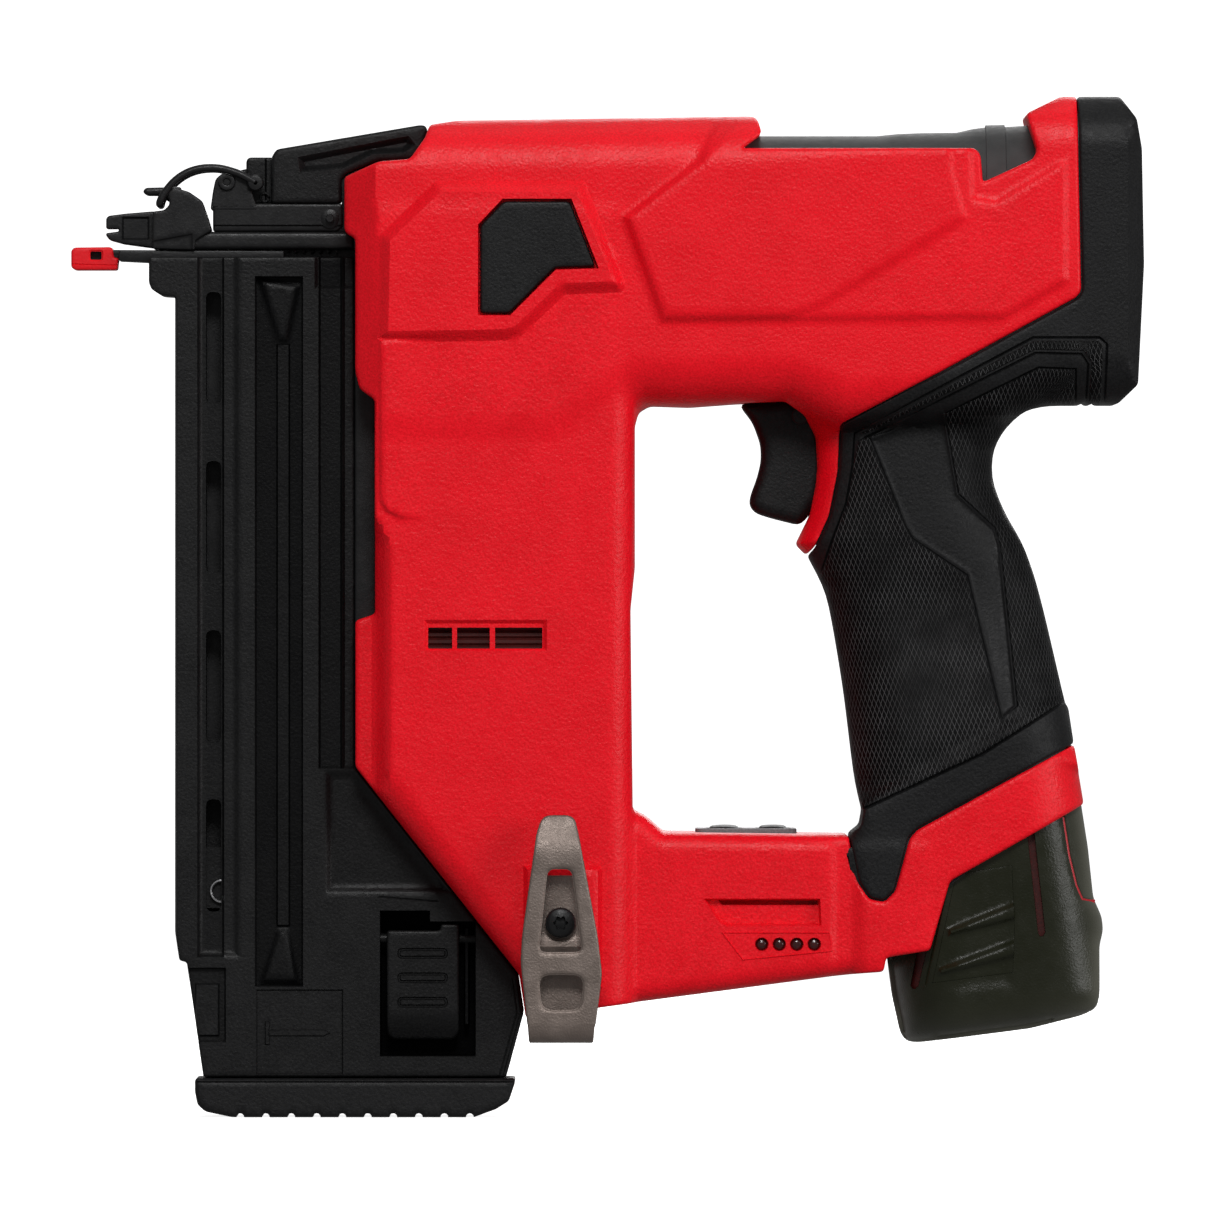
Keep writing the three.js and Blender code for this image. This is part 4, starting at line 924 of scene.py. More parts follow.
def housing_form(side):
    """The red moulding's face, with the gauge on the left and the screw wells on the right."""
    features = [
        (PLATE, 2.4, 2.6), (SPINE_PANEL, spine_rise, 1.1), (POCKET, -3.2, 0.35),
        (FLANK_PANEL, 1.0, 2.0), (BLANK_PANEL, 0.8, 2.2),
        (VENT_FRAME, -0.9, 0.9), (STRAP_SLOT, -2.2, 0.5), (STRAP_SLIT, -3.0, 0.2),
        (band(109.4, 118, 28, 64.3), -0.9, 3.2),
    ]
    grooves = []
    if side < 0:
        features += [(circle(x, GAUGE_Z, 1.6), -1.2, 0.2) for x in GAUGE_X]
        grooves += [(GAUGE_LINE, -0.25, 0.5)]
    else:
        features += [(circle(x, z, 3.6, 28), y - 29.5, 0.2) for x, z, y in SCREWS]
    folds = [[(FRONT_FOLD, 166), (FRONT_FOLD, 218)]]
    folds += [[(x, 60), (x, 140)] for x in (5.2, 6.6, 8, 9.4)]
    return Form(soften(RED_OUTLINE, 0.9), form_height, 0.9, features, grooves, folds)


def grip_form():
    """The black overmould of the grip and the rear cap."""
    features = [(KNURL, 0.3, 0.4), (BLADE, -0.8, 1.0), (BAND_FILL, 0.3, 0.3)]
    grooves = [(GRIP_SEAM, 0.6, 0.9), (BLADE[2:] + BLADE[:1], 0.45, 0.7)]
    grooves += [(line, 0.6, 0.7) for line in (BAND_OUTER, BAND_MIDDLE, BAND_INNER)]
    folds = [[(REAR_FOLD, 165), (REAR_FOLD, 231)]]
    return Form(soften(GRIP_OUTLINE, 0.8), form_height, 0.7, features, grooves, folds)


def wrap_table():
    """Distance along the grip's skin from its middle line, on a grid of the side view."""
    step = 0.5
    xs, zs = np.arange(98, 196, step), np.arange(46, 240, 1.0)
    grid_x, grid_z = np.meshgrid(xs, zs)
    points = np.column_stack((grid_x.ravel(), grid_z.ravel()))
    # the grip is carried on downwards here, so that the pattern runs straight past its foot
    lengthened = [(x, z - 30) if z < 82 else (x, z) for x, z in HANDLE]
    high = np.maximum(volume(points, lengthened, *HANDLE_ROUND), 0).reshape(grid_x.shape)
    slope = np.clip(np.gradient(high, xs, axis=1), -6, 6)
    along = np.cumsum(np.sqrt(1 + slope ** 2), axis=1) * step
    centre = centre_x(zs)
    start = np.array([np.interp(c, xs, row) for c, row in zip(centre, along)])
    return xs, zs, along - start[:, None]


def centre_x(z):
    """The grip's middle line."""
    (x0, z0), (x1, z1) = HAND_CENTRE
    return x0 + (z - z0) * (x1 - x0) / (z1 - z0)


def look_up(table, points):
    """Bilinear value of the wrap table at each point."""
    xs, zs, values = table
    i = np.clip((points[:, 0] - xs[0]) / (xs[1] - xs[0]), 0, len(xs) - 1.001)
    j = np.clip((points[:, 1] - zs[0]) / (zs[1] - zs[0]), 0, len(zs) - 1.001)
    i0, j0 = i.astype(int), j.astype(int)
    fx, fz = i - i0, j - j0
    low = values[j0, i0] * (1 - fx) + values[j0, i0 + 1] * fx
    high = values[j0 + 1, i0] * (1 - fx) + values[j0 + 1, i0 + 1] * fx
    return low * (1 - fz) + high * fz


def grip_marks(table):
    """Where the grip is knurled, and the distance along its skin that sets out the pattern."""
    def marks(points, below):
        wrap = look_up(table, points)
        wrap = wrap + np.sign(wrap) * below
        knurl = ease(signed_distance(points, KNURL) / 0.5) * ease(-signed_distance(points, BLADE) / 0.5)
        knurl = np.maximum(knurl, ease(signed_distance(points, BAND_FILL) / 0.3))
        return {"wrap": wrap, "knurl": knurl}
    return marks


def housing_floor(points, high):
    """Walls run to the parting plane, but stay thin round the battery's opening."""
    mouth = plane_distance(points, *MOUTH_LINE) < 7
    mouth |= (points[:, 1] < 58) & (points[:, 0] > 123.5)
    mouth &= (points[:, 1] < 80) & (points[:, 0] > 122.6)
    mouth &= plane_distance(points, *COLLAR_SIDES[0]) > WALL
    return np.where(mouth, np.maximum(high - WALL, PARTING), PARTING)


def build_housing():
    """Both halves, with what is moulded over them, set into them or screwed through them."""
    table = wrap_table()
    pad = Form(soften(PAD_OUTLINE, 1.0), BARREL_HALF + 2.0, 0.6)
    for side, word in SIDES:
        red = relief(housing_form(side), housing_floor, side, holes=VENTS)
        add(f"housing_shell_{word}", red, "tool", "red_housing", [f"housing_{word}"])
        black = relief(grip_form(), PARTING, side, marks=grip_marks(table))
        add(f"grip_skin_{word}", black, "tool", "grip_rubber", [f"grip_{word}"])
        add(f"side_insert_{word}", relief(pad, 26.5, side), "tool", "black_plastic", [f"side_pad_{word}"])
    build_sleeve()
    build_seam_cores()
    build_vent_baffles()
    for number, (x, z, y) in enumerate(SCREWS, 1):
        mesh = screw(x, z, y, radius=3.1, side=1, tip=-12)
        add(f"case_screw_{number}", mesh, "tool", "black_steel", [f"housing_screw_{number}"])


def build_vent_baffles():
    """The louvred plates behind the cooling slots, red darkened with painted shade."""
    louvres = [([(16, z), (47, z)], 0.5, 0.9) for z in (108.4, 110, 111.6)]
    form = Form(band(15.5, 47.5, 105.5, 114.5), 25.2, 0.3, [], louvres)
    for side, word in SIDES:
        baffle = relief(form, 24.2, side, closed=True)
        add(f"vent_baffle_{word}", baffle, "tool", "black_plastic", material=SLOT_RED)


def build_seam_cores():
    """Dark strips behind the joints between the red and black mouldings."""
    seams = {
        "upper": [(167.1, 230), (168, 189.4), (136.6, 171.4), (112.5, 159), (112.2, 148), (110.1, 137.9),
                  (107, 131.5)],
        "lower": [(164, 84.8), (130, 66.2), (128.1, 64), (124.9, 52.1), (122.5, 49.8), (119.3, 50.4),
                  (116.7, 54.1), (114.8, 62)],
    }
    for word, seam in seams.items():
        outline = shift(seam, 1.3) + shift(seam, -1.3)[::-1]
        strip = Form(outline, lambda points: form_height(points) - 0.9, 0.1)
        add(f"seam_core_{word}", joined(*pair(strip, shell(0.8))), "tool", "black_plastic")
    rail_strip = [(1.16, 199), (1.16, 80.35), (38.76, 32.7), (41, 34), (3.4, 81.4), (3.4, 199)]
    plate("seam_core_rail", rail_strip, 11.8, "tool", "black_plastic", pitch=3)
    lever_seat = [
        (-3, 203.25), (-1.6, 204.4), (-1.85, 209.7), (-1.9, 215), (-0.7, 216.5), (6.6, 219.5), (14.3, 219.8),
        (16.3, 221.5), (17.4, 224.2), (18.4, 223), (14.6, 217.6), (7.4, 217), (0.6, 213.6), (0.6, 203.25),
    ]
    sides = pair(Form(lever_seat, 6.5, 0.1), 5.3, pitch=2)
    add("seam_core_lever", joined(*sides), "tool", "black_plastic")


def build_sleeve():
    """The battery bay's inner wall, seen when the battery is out."""
    outer = [sleeve_ring(v, -25.6, 24, 22.9, 15) for v in (mouth_v, 20)]
    inner = [sleeve_ring(v, -25, 23.3, 22.4, 14.5) for v in (20, mouth_v)]
    add("battery_bay", loft_open(outer + inner), "tool", "black_plastic")


def sleeve_ring(v, u0, u1, half, corner=8.0, steps=6):
    """A rounded rectangle across the leaning axis, v up it. v may be a function of u."""
    corners = ((u1 - corner, half - corner, 0), (u0 + corner, half - corner, 90),
               (u0 + corner, corner - half, 180), (u1 - corner, corner - half, 270))
    ring = []
    for cu, cy, turn in corners:
        for k in range(steps + 1):
            a = math.radians(turn + 90 * k / steps)
            u = cu + corner * math.cos(a)
            x, z = raked(u, v(u) if callable(v) else v)
            ring.append((x, cy + corner * math.sin(a), z))
    return ring


def mouth_v(u):
    """Just above the lower edge of the red sleeve, on the leaning axes."""
    return float(np.interp(u, (-26.2, -16, -9, 24.7), (-18.8, -19, -4.1, 7.8))) + 1.5


def screw(x, z, y, radius, side, tip):
    """A button-head screw with a six-lobed socket, its head facing side * Y."""
    def crown(points):
        return abs(y) - 0.06 * ((points[:, 0] - x) ** 2 + (points[:, 1] - z) ** 2)

    socket = (star(x, z, radius * 0.5, radius * 0.36), -1.4, 0.12)
    head = Form(circle(x, z, radius, 36), crown, 0.5, [socket])
    top = relief(head, abs(y) - 2.2, side, pitch=0.5, closed=True)
    shank = lathe([(tip, 1.2), (side * (abs(y) - 2.1), 1.4)], (x, 0, z), "y", 24)
    return joined(top, shank)


# ------------------------------------------------------------------ tank and base
def build_tank():
    """The coated gas tank, turned, with the steps of its end cap."""
    profile = [
        (50.5, 21), (52, 22.4), (121, 22.4), (126, 22.9), (131.5, 23.1), (139.5, 23.2), (143.5, 24.1),
        (146, 24.4), (146.1, 24.9), (150.5, 25), (150.6, 24.5), (155.7, 24.8), (164.5, 24.8), (166, 23.6),
    ]
    add("tank_shell", lathe(profile, (0, 0, DRIVE_Z), "x", 128), "tool", "tank_coating", ["cylinder_tank"])


BUTTONS = {"mode": (82.4, 89.6), "light": (93.8, 100.6)}      # ends of each button along x


def build_panel():
    """The label on top of the base, with two dished rubber buttons in its wells."""
    def rounded(x0, x1, half, radius):
        return soften(band(x0, x1, -half, half), radius, 5)

    wells = [(rounded(x0 - 0.7, x1 + 0.7, 8.2, 2.6), -0.7, 0.3) for x0, x1 in BUTTONS.values()]
    label = relief(Form(rounded(79.4, 102.6, 11.2, 2), 66.3, 0.3, wells), 63.6, place=on_top, pitch=0.7)
    add("button_label", label, "tool", "panel_label", ["button_panel"])
    for word, (x0, x1) in BUTTONS.items():
        middle = (x0 + x1) / 2
        key = Form(
            rounded(x0, x1, 7.5, 2.4),
            lambda points, c=middle: 67.1 - 0.03 * ((points[:, 0] - c) ** 2 + 0.3 * points[:, 1] ** 2),
            0.9, [(circle(middle, 0, 2.3, 28), -0.35, 0.6)],
        )
        node = f"{word}_button"
        add(f"{word}_key", relief(key, 63, place=on_top, pitch=0.5), node, "black_rubber", [node])


def gauge_lens(x):
    """One domed lens of the fuel gauge."""
    def height(points):
        return 23.6 - 0.25 * ((points[:, 0] - x) ** 2 + (points[:, 1] - GAUGE_Z) ** 2)

    return relief(Form(circle(x, GAUGE_Z, 1.35, 24), height, 0.15), 20.5, pitch=0.3)


def build_gauge():
    """The row of lenses."""
    add("gauge_lenses", joined(*(gauge_lens(x) for x in GAUGE_X)), "tool", "gauge_lens", ["fuel_gauge"])


# ------------------------------------------------------------------ belt hook
HOOK_OUT, HOOK_IN, HOOK_LEAF = 39.3, 31.3, 1.9


def hook_out(points):
    """The outer leaf leans in towards its tip."""
    return HOOK_OUT - 2.6 * ease((points[:, 1] - 58) / 12) ** 2


def hook_in(points):
    """The inner leaf steps out over a rolled bend below the screw."""
    roll = np.exp(-((points[:, 1] - 39.4) / 1.5) ** 2)
    return HOOK_IN + HOOK_LEAF + 1.5 * roll + 0.8 * ease((39 - points[:, 1]) / 3)


def hook_bend():
    """The half-round bend that joins the two leaves."""
    radius = (HOOK_OUT - HOOK_IN) / 2
    centre_y, centre_z = -(HOOK_OUT + HOOK_IN) / 2, 21.6
    rings = []
    for k in range(15):
        a = math.pi * k / 14
        low, high = 41.0 + 0.3 * math.sin(a), 56.3 - 0.3 * math.sin(a)
        section = [
            (low + 0.3, radius), (high - 0.3, radius), (high, radius - 0.3), (high, radius - 1.6),
            (high - 0.3, radius - HOOK_LEAF), (low + 0.3, radius - HOOK_LEAF), (low, radius - 1.6),
            (low, radius - 0.3),
        ]
        rings.append([(x, centre_y - r * math.cos(a), centre_z - r * math.sin(a)) for x, r in section])
    return loft(rings)


def build_hook():
    """The folded belt clip with its screw, which is reached through the upper window."""
    holes = [soften(HOOK_WINDOW, 1.6, 4), soften(HOOK_WINDOW_LOW, 2.6, 4)]
    coined = [(inset(hole, -0.45), -0.35, 0.4) for hole in holes]
    outer = relief(
        Form(soften(HOOK_OUTLINE, 1.2), hook_out, 0.5, coined),
        lambda points, _: hook_out(points) - HOOK_LEAF, holes=holes, closed=True, pitch=0.9,
    )
    leaf = [(41.3, 21.6), (41.8, 40), (44, 55.8), (52.8, 55.8), (55.6, 40), (56.2, 21.6)]
    inner = relief(Form(soften(leaf, 0.8), hook_in, 0.3), HOOK_IN + 0.02, closed=True, pitch=0.9)
    add("clip_spring", joined(outer, inner, hook_bend()), "tool", "hook_steel", ["belt_hook"])
    clip_screw = screw(48.5, 45, -36.2, radius=3.5, side=-1, tip=-18)
    add("clip_screw", clip_screw, "tool", "black_steel", ["hook_screw"])


# ------------------------------------------------------------------ magazine
MAGAZINE_HALF = 12.5
SUNK_AT, SUNK_SPAN = 11.8, 3.6      # half width where a recess begins, and the depth that counts as full


def magazine_features():
    """The steps, ribs and pockets of the cover's side."""
    wedge_top = [(-21.4, 193), (-10.9, 191.4), (-13.6, 177.8), (-16.8, 177.8)]
    wedge_foot = [(-21, 30.4), (-11, 30.4), (-13.8, 43.6), (-16.8, 43.6)]
    rear_plane = [(-5.6, 79.6), (1.4, 79.6), (24, 51.4), (-5.6, 51.4)]
    return [
        (band(-60, -39.4, 0, 188), -0.8, 0.5),
        (band(-34.9, -25.2, 36.8, 230), -0.8, 1.3),
        (band(-34.9, -28.7, 36.8, 230), -0.9, 0.5),
        (band(-21.7, -10.6, 30, 193), -2.8, 0.4),
        (band(-16.8, -13.6, 43.8, 177.6), 0.9, 0.4),
        (wedge_top, 0.9, 1.6), (wedge_foot, 0.9, 1.6),
        (band(-7.1, -1.6, 80, 230), -2.2, 0.5), (band(-1.6, 12, 80, 230), -0.9, 0.6),
        (band(-8, 12, 190, 230), -0.8, 0.8),
        (rear_plane, -1.1, 1.7),
        (band(-37, -28.3, 17.3, 34.4), -1.4, 0.4), (band(-35.4, -29.8, 18.6, 30.8), 0.8, 0.4),
        (band(-21.4, -1.4, 9.9, 29.4), -0.5, 0.35),
    ]


def nail_sign():
    """A plain nail, the generic sign in the blank plate."""
    return [
        ([(-18.6, 18.6), (-5.8, 18.6), (-4.2, 19.4), (-5.8, 20.2), (-18.6, 20.2)], 0.35, 0.25),
        (band(-19.4, -18.2, 16.6, 22.2), 0.35, 0.25),
    ]


def recess_marks(form):
    """How deep each point of the magazine's face lies, from 0 to 1, which sets the painted shade in its
    pockets.
    """
    def marks(points, below):
        depth = SUNK_AT - form.height(points) + below
        return {"recess": np.clip(depth / SUNK_SPAN, 0, 1)}
    return marks


def build_magazine():
    """The sliding magazine with its foot and latch, and the rail it runs on."""
    build_magazine_cover()
    wall = Form([(-36.6, 36), (-32.4, 12), (-1.6, 12), (-1.6, 196.8), (-36.6, 196.8)], 9.6, 0.2)
    add("magazine_partition", relief(wall, 8.9, 1, pitch=3, closed=True), "magazine", "black_plastic")
    foot = cut_notches(soften(FOOT_OUTLINE, 0.7), [-25 + 5.85 * i for i in range(10)], 0.9)
    seam = ([(-36, 8.2), (39, 8.2)], 0.3, 0.5)
    plate("magazine_foot", foot, 15, "magazine", "black_rubber", ["foot_bumper"], rim=1.0, grooves=[seam])
    coil = [
        (-29.3 + 2.5 * math.cos(a), -9.9 + 0.1 * a, 51.9 + 2.5 * math.sin(a))
        for a in (math.pi * k / 8 for k in range(33))
    ]
    add("pusher_coil", tube(coil, 0.3, 8, 2), "pusher", "bright_steel")
    build_magazine_latch()
    spine = soften(band(1.25, 6.2, 113, 171), 0.5)
    plate("rail_spine", spine, 12.2, "tool", "black_steel", ["magazine_rail"])
    plate("rail_blade", soften(band(-36.5, 3, 62, 198.6), 0.5), 1.0, "tool", "black_steel", rim=0.2, pitch=3)


def build_magazine_cover():
    """The cover, the same on both sides but for the latch's well on the left."""
    windows = [soften(band(-32.9, -29.4, 47.2 + 38.8 * i, 73 + 38.8 * i), 1.5) for i in range(4)]
    latch_well = [(7, 47.5), (18.5, 47.5), (18.5, 45), (29, 45), (29, 14), (7, 14)]
    right_edge = [(35.4, 9.6), (39.3, 24), (38.2, 31.6)]
    outline = soften(MAGAZINE_OUTLINE, 0.6)
    seams = [
        (right_edge, -0.25, 0.45), (shift(right_edge, 0.9), -0.25, 0.45),
        ([(7, 50.6), (20, 49.6)], 0.25, 0.5),
    ]
    faces = []
    for side, _ in SIDES:
        features = magazine_features() + nail_sign()
        if side < 0:
            features += [(latch_well, -8, 0.3), (band(26.2, 27.6, 21, 43.7), 5.0, 0.4)]
        form = Form(outline, MAGAZINE_HALF, 0.5, features, seams)
        faces.append(relief(form, 0.0, side, holes=windows, pitch=PITCH * 0.9, marks=recess_marks(form)))
    add("magazine_cover", joined(*faces), "magazine", "black_plastic", ["magazine_body"])


def cut_notches(outline, places, radius):
    """Half-round notches along the bottom edge of an outline that lies on z = 0."""
    bottom = [p for p in outline if p[1] < 0.35 and -27 < p[0] < 28]
    first = outline.index(min(bottom))
    rest = [p for p in outline if p not in bottom]
    turns = [math.pi * (1 - k / 6) for k in range(7)]
    cuts = [(x + radius * math.cos(a), 0.1 + radius * math.sin(a)) for x in places for a in turns]
    start = sum(1 for p in outline[:first] if p not in bottom)
    return rest[:start] + cuts + rest[start:]


def build_magazine_latch():
    """The latch's thumb plate with three grip bars, on a pin that runs along x."""
    outline = [
        (8.6, 19), (10, 17.8), (24, 17.8), (25.2, 19.4), (25.2, 44.4), (20.9, 44.4), (20.9, 42.9),
        (8.6, 42.9),
    ]
    bars = []
    for z0 in (25.2, 30.8, 36.4):
        bar = soften(band(11, 22.6, z0, z0 + 2.5), 1.2, 4)
        bars += [(bar, -0.45, 0.25), (inset(bar, 0.5), 0.45, 0.25)]
    form = Form(
        soften(outline, 0.7),
        lambda points: MAGAZINE_HALF - 3.0 * ease((25.5 - points[:, 1]) / 9) ** 1.6, 0.6, bars,
    )
    thumb_plate = relief(form, shell(2.6), closed=True, pitch=0.7)
    pin = lathe([(4.2, 0.9), (4.4, 1.2), (31.8, 1.2), (32, 0.9)], (0, -8.6, 41), "x", 24)
    add("latch_plate", joined(thumb_plate, pin), "magazine_latch", "black_plastic", ["magazine_latch"])


# ------------------------------------------------------------------ nose
BAIL_AXIS = (-21.6, 0, 214.5)


def build_nose():
    """The black casting with its fork, cheeks and horn, and all that hangs on it."""
    fork = [
        (-56, 204), (-53.1, 204), (-53.1, 203.4), (-56, 203), (-56, 202.4), (-55.2, 201.4), (-52, 200.5),
        (-44, 199.4), (-40, 199.4), (-40, 207.8), (-45.5, 208), (-51.5, 207.5), (-55.4, 207), (-56, 206.4),
    ]
    cheek = [
        (-45.2, 199.3), (-35.6, 199), (-35.4, 201.2), (-33.2, 202.6), (-31.7, 203.5), (-32.4, 206),
        (-33.9, 210.4), (-36.8, 212.4), (-40.4, 213.5), (-42.4, 213.6), (-41.4, 210.8), (-41.4, 209.4),
        (-42.6, 208.2), (-45.2, 207.9),
    ]
    horn = [
        (-38, 209), (-42, 210.4), (-43.2, 211.6), (-46.6, 211.6), (-47.7, 212.5), (-47, 213.5),
        (-38.8, 213.7),
    ]
    floor = [(-44, 199.2), (1.2, 199.2), (1.2, 202.4), (0.2, 203.3), (-44, 203.3)]
    lower_face = [(-50, 198), (-35.9, 198), (-35.9, 203), (-50, 200.4)]
    fork_hollow = (band(-52.4, -46, 201.4, 206.8), -0.7, 0.5)
    parts = [
        solid(Form(soften(fork, 0.4), 4.6, 0.4, [fork_hollow]), 0.6),
        solid(Form(soften(cheek, 0.5), 8.6, 0.4, [(lower_face, -0.4, 0.5)]), 0.7),
        solid(Form(soften(horn, 0.6), 2.3, 0.7), 0.6),
        solid(Form(soften(floor, 0.4), 7.6, 0.9), 0.9),
        *pair(Form(band(-17, 3, 196.8, 200), 3.45, 0.2), 2.75, pitch=2),
        solid(Form(band(1, 20, 199.2, 208.8), 9, 0.3), 2),
    ]
    add("nose_casting", joined(*parts), "tool", "black_steel", ["nose_body"])
    build_door()
    build_lever()
    build_bail()
    build_contact()


def build_door():
    """The jam door with two ears for the lever's pin, and its hinge knuckle."""
    door = [
        (-31.4, 203.35), (-2.8, 203.35), (-1.6, 204.4), (-1.6, 209.4), (-2, 209.75), (-30.8, 209.75),
        (-31.4, 208.6),
    ]
    ear = [
        (-32, 208.2), (-31.4, 212.6), (-30.8, 215.4), (-29, 216.9), (-24.4, 217.2), (-23.4, 216),
        (-22.2, 211.6), (-21, 208.2),
    ]
    step = (band(-40, 5, 200, 204.9), -0.5, 0.4)
    panel = solid(Form(soften(door, 0.5), 7.5, 0.5, [step]), 0.8)
    ear_line = ([(-31.4, 208.9), (-21.2, 208.9)], 0.3, 0.5)
    ears = pair(Form(soften(ear, 0.7), 7.6, 0.35, [], [ear_line]), 5.4, pitch=0.6)
    half_knuckle = [(7.4, 2.3), (7.6, 2), (7.7, 1), (8.8, 1), (9, 0.8)]
    knuckle = lathe(mirrored(half_knuckle), (-4.5, 0, 206.3), "y", 32)
    add("jam_door", joined(panel, *ears, knuckle), "door", "black_steel", ["nose_door"])
    half_pin = [(7.7, 1.9), (8.0, 2.0), (8.5, 1.8), (8.6, 1.3), (8.5, 0.9), (8.1, 0.7)]
    pin = lathe(mirrored(half_pin), (-28.2, 0, 214.7), "y", 32)
    add("lever_pivot", pin, "door", "black_steel", ["lever_pin"])


def mirrored(half):
    """A lathe's profile that runs through to its mirror image, from half of it."""
    return [(-along, radius) for along, radius in half[::-1]] + half


def build_lever():
    """The door's latch lever: thumb tail, block, arm, boss and a small coil spring."""
    block_outline = [(-23.8, 209.8), (-17.6, 209.8), (-17.6, 220.4), (-23.2, 220.4), (-23.8, 219.6)]
    block_line = ([(-19.3, 210), (-19.3, 221)], 0.4, 0.5)
    arm_outline = [(-30.2, 213), (-30, 216.4), (-23, 218), (-22, 210.4), (-27, 211.8)]
    tail = solid(Form(soften(LEVER_TAIL, 0.8), 8, 0.8, [(LEVER_SCOOP, -1.5, 1.4)]), 0.8)
    block = solid(Form(soften(block_outline, 0.5), 4.6, 0.5, [], [block_line]), 0.7)
    arm = solid(Form(soften(arm_outline, 0.8), 2.4, 0.5), 0.7)
    boss = lathe(mirrored([(5, 1.4), (5.1, 0.8)]), BAIL_AXIS, "y", 28)
    coil = [
        (-19.5 + 1.0 * math.cos(a), -5.2 + 0.35 * a / math.pi, 211.2 + 1.0 * math.sin(a))
        for a in (math.pi * k / 5 for k in range(31))
    ]
    mesh = joined(tail, block, arm, boss, tube(coil, 0.3, 8, 2))
    add("door_latch", mesh, "lever", "black_plastic", ["latch_lever"])


def build_bail():
    """The wire bail: two bent arms with eyes at the lever, and the bar through them."""
    arm = [
        (-21.6, 8.9, 214.5), (-23.4, 8.9, 215.6), (-26.2, 8.9, 216.9), (-30.2, 8.9, 217.9),
        (-34.2, 8.9, 217.8), (-37.6, 8.9, 216.7), (-40.4, 8.9, 214.7), (-42.6, 8.9, 212),
        (-43.5, 8.8, 210.2), (-43.6, 8.0, 209.6), (-43.5, 5, 209.7), (-43.4, 2.7, 209.8),
    ]
    eye = [(8.3, 1.1), (8.3, 1.6), (8.9, 1.95), (9.5, 1.6), (9.6, 1.1)]
    wires = [tube([(x, side * y, z) for x, y, z in arm], 0.85) for side, _ in SIDES]
    eyes = [lathe([(side * y, radius) for y, radius in eye], BAIL_AXIS, "y", 32) for side, _ in SIDES]
    crossbar = lathe(mirrored([(9.4, 0.85), (9.6, 0.5)]), BAIL_AXIS, "y", 24)
    add("wire_bail", joined(*wires, *eyes, crossbar), "bail", "black_steel", ["bail"])


def build_contact():
    """The contact foot: a soft red tip on a strip that runs back along the magazine."""
    tip = [
        (-64, 195.2), (-63.2, 194.5), (-53.4, 194.5), (-53.1, 197.2), (-54.2, 197.4), (-54.4, 199.4),
        (-55, 199.8), (-63.3, 199.7), (-64, 199),
    ]
    window = soften(band(-59.6, -57, 196.9, 198.8), 0.4)
    window_rim = (inset(window, -0.4), -0.3, 0.3)
    lip_line = ([(-64, 195.9), (-53, 195.6)], 0.2, 0.3)
    soft_tip = solid(Form(soften(tip, 0.5), 5.4, 0.5, [window_rim], [lip_line]), 0.5, [window])
    add("soft_tip", soft_tip, "contact_foot", "red_rubber", ["no_mar_tip"])
    strip = [
        (-60.4, 196.2), (-60.4, 199.3), (-54, 199.2), (-49, 199.1), (-15, 199.1), (-15, 197.9), (-50, 197.7),
        (-55, 196.4),
    ]
    blade = [(-53, 196.6), (-45, 196.2), (-15, 196.8), (-15, 198.9), (-53, 199.1)]
    upper = solid(Form(soften(strip, 0.3), 2.6, 0.3), 0.8)
    blades = pair(Form(soften(blade, 0.3), 7.2, 0.3), 3.6, pitch=1.5)
    add("contact_strip", joined(upper, *blades), "contact_foot", "black_steel", ["contact_arm"])


def build_trigger():
    """The trigger on its pivot pin."""
    body = solid(Form(soften(TRIGGER_OUTLINE, 1.6), 6.4, 2.6), 0.8)
    pin = lathe(mirrored([(10.2, 2), (10.4, 1.8)]), (103.5, 0, 161), "y", 24)
    add("trigger_finger", joined(body, pin), "trigger", "black_plastic", ["trigger"])


# ------------------------------------------------------------------ battery
BATTERY_HALF = 22.0
BATTERY_SIDES = [       # each edge's line, and the reach and drop of its rounding
    (raked(-24.8, 10), raked(-24.8, -40), 15, 15),
    (raked(25.4, -40), raked(25.4, 10), 15, 15),
    ((120, 16.4), (175, 24.8), 6, 5),
]
CLIP_OUTLINE = [(133.6, 31), (152, 33.4), (152.4, 44), (151.8, 58), (139, 56)]
THUMB_HOLLOW = [(132, 27), (152.6, 29.5), (153.6, 44), (152.8, 62), (139, 62)]
SLOTS = [
    [(154.9, 68), (156.7, 68), (159.5, 42.6), (159, 41.7), (158.2, 41.6), (157.7, 42.4)],
    [(130.3, 40), (132.7, 40), (130.5, 30.2), (129.8, 29.5), (129.1, 29.5), (128.6, 30.2)],
]
ACCENT_LINE = [(163.6, 69), (165, 60), (166.6, 53.4), (168, 50.2), (171, 49.6)]
THUMB_DIP = (THUMB_HOLLOW, -0.45, 3.2)


def battery_height(points):
    """Half width of the battery case."""
    high = np.full(len(points), BATTERY_HALF)
    for a, b, reach, drop in BATTERY_SIDES:
        high = high - dome(plane_distance(points, a, b), reach, drop)
    return np.maximum(high, 5)


def rib(x0, z0, x1, z1):
    """A wedge-shaped finger rib of a battery clip."""
    return [(x0, z0), (x0 + 0.4, z0 - 2.4), (x1, z1 - 5.2), (x1, z1)]


def battery_marks(points, _below):
    """How close each point lies to the case's outline, which sets the case's painted rim light."""
    edge = signed_distance(points, BATTERY_OUTLINE)
    return {"thin": np.exp(-np.maximum(edge, 0) / 2.2)}


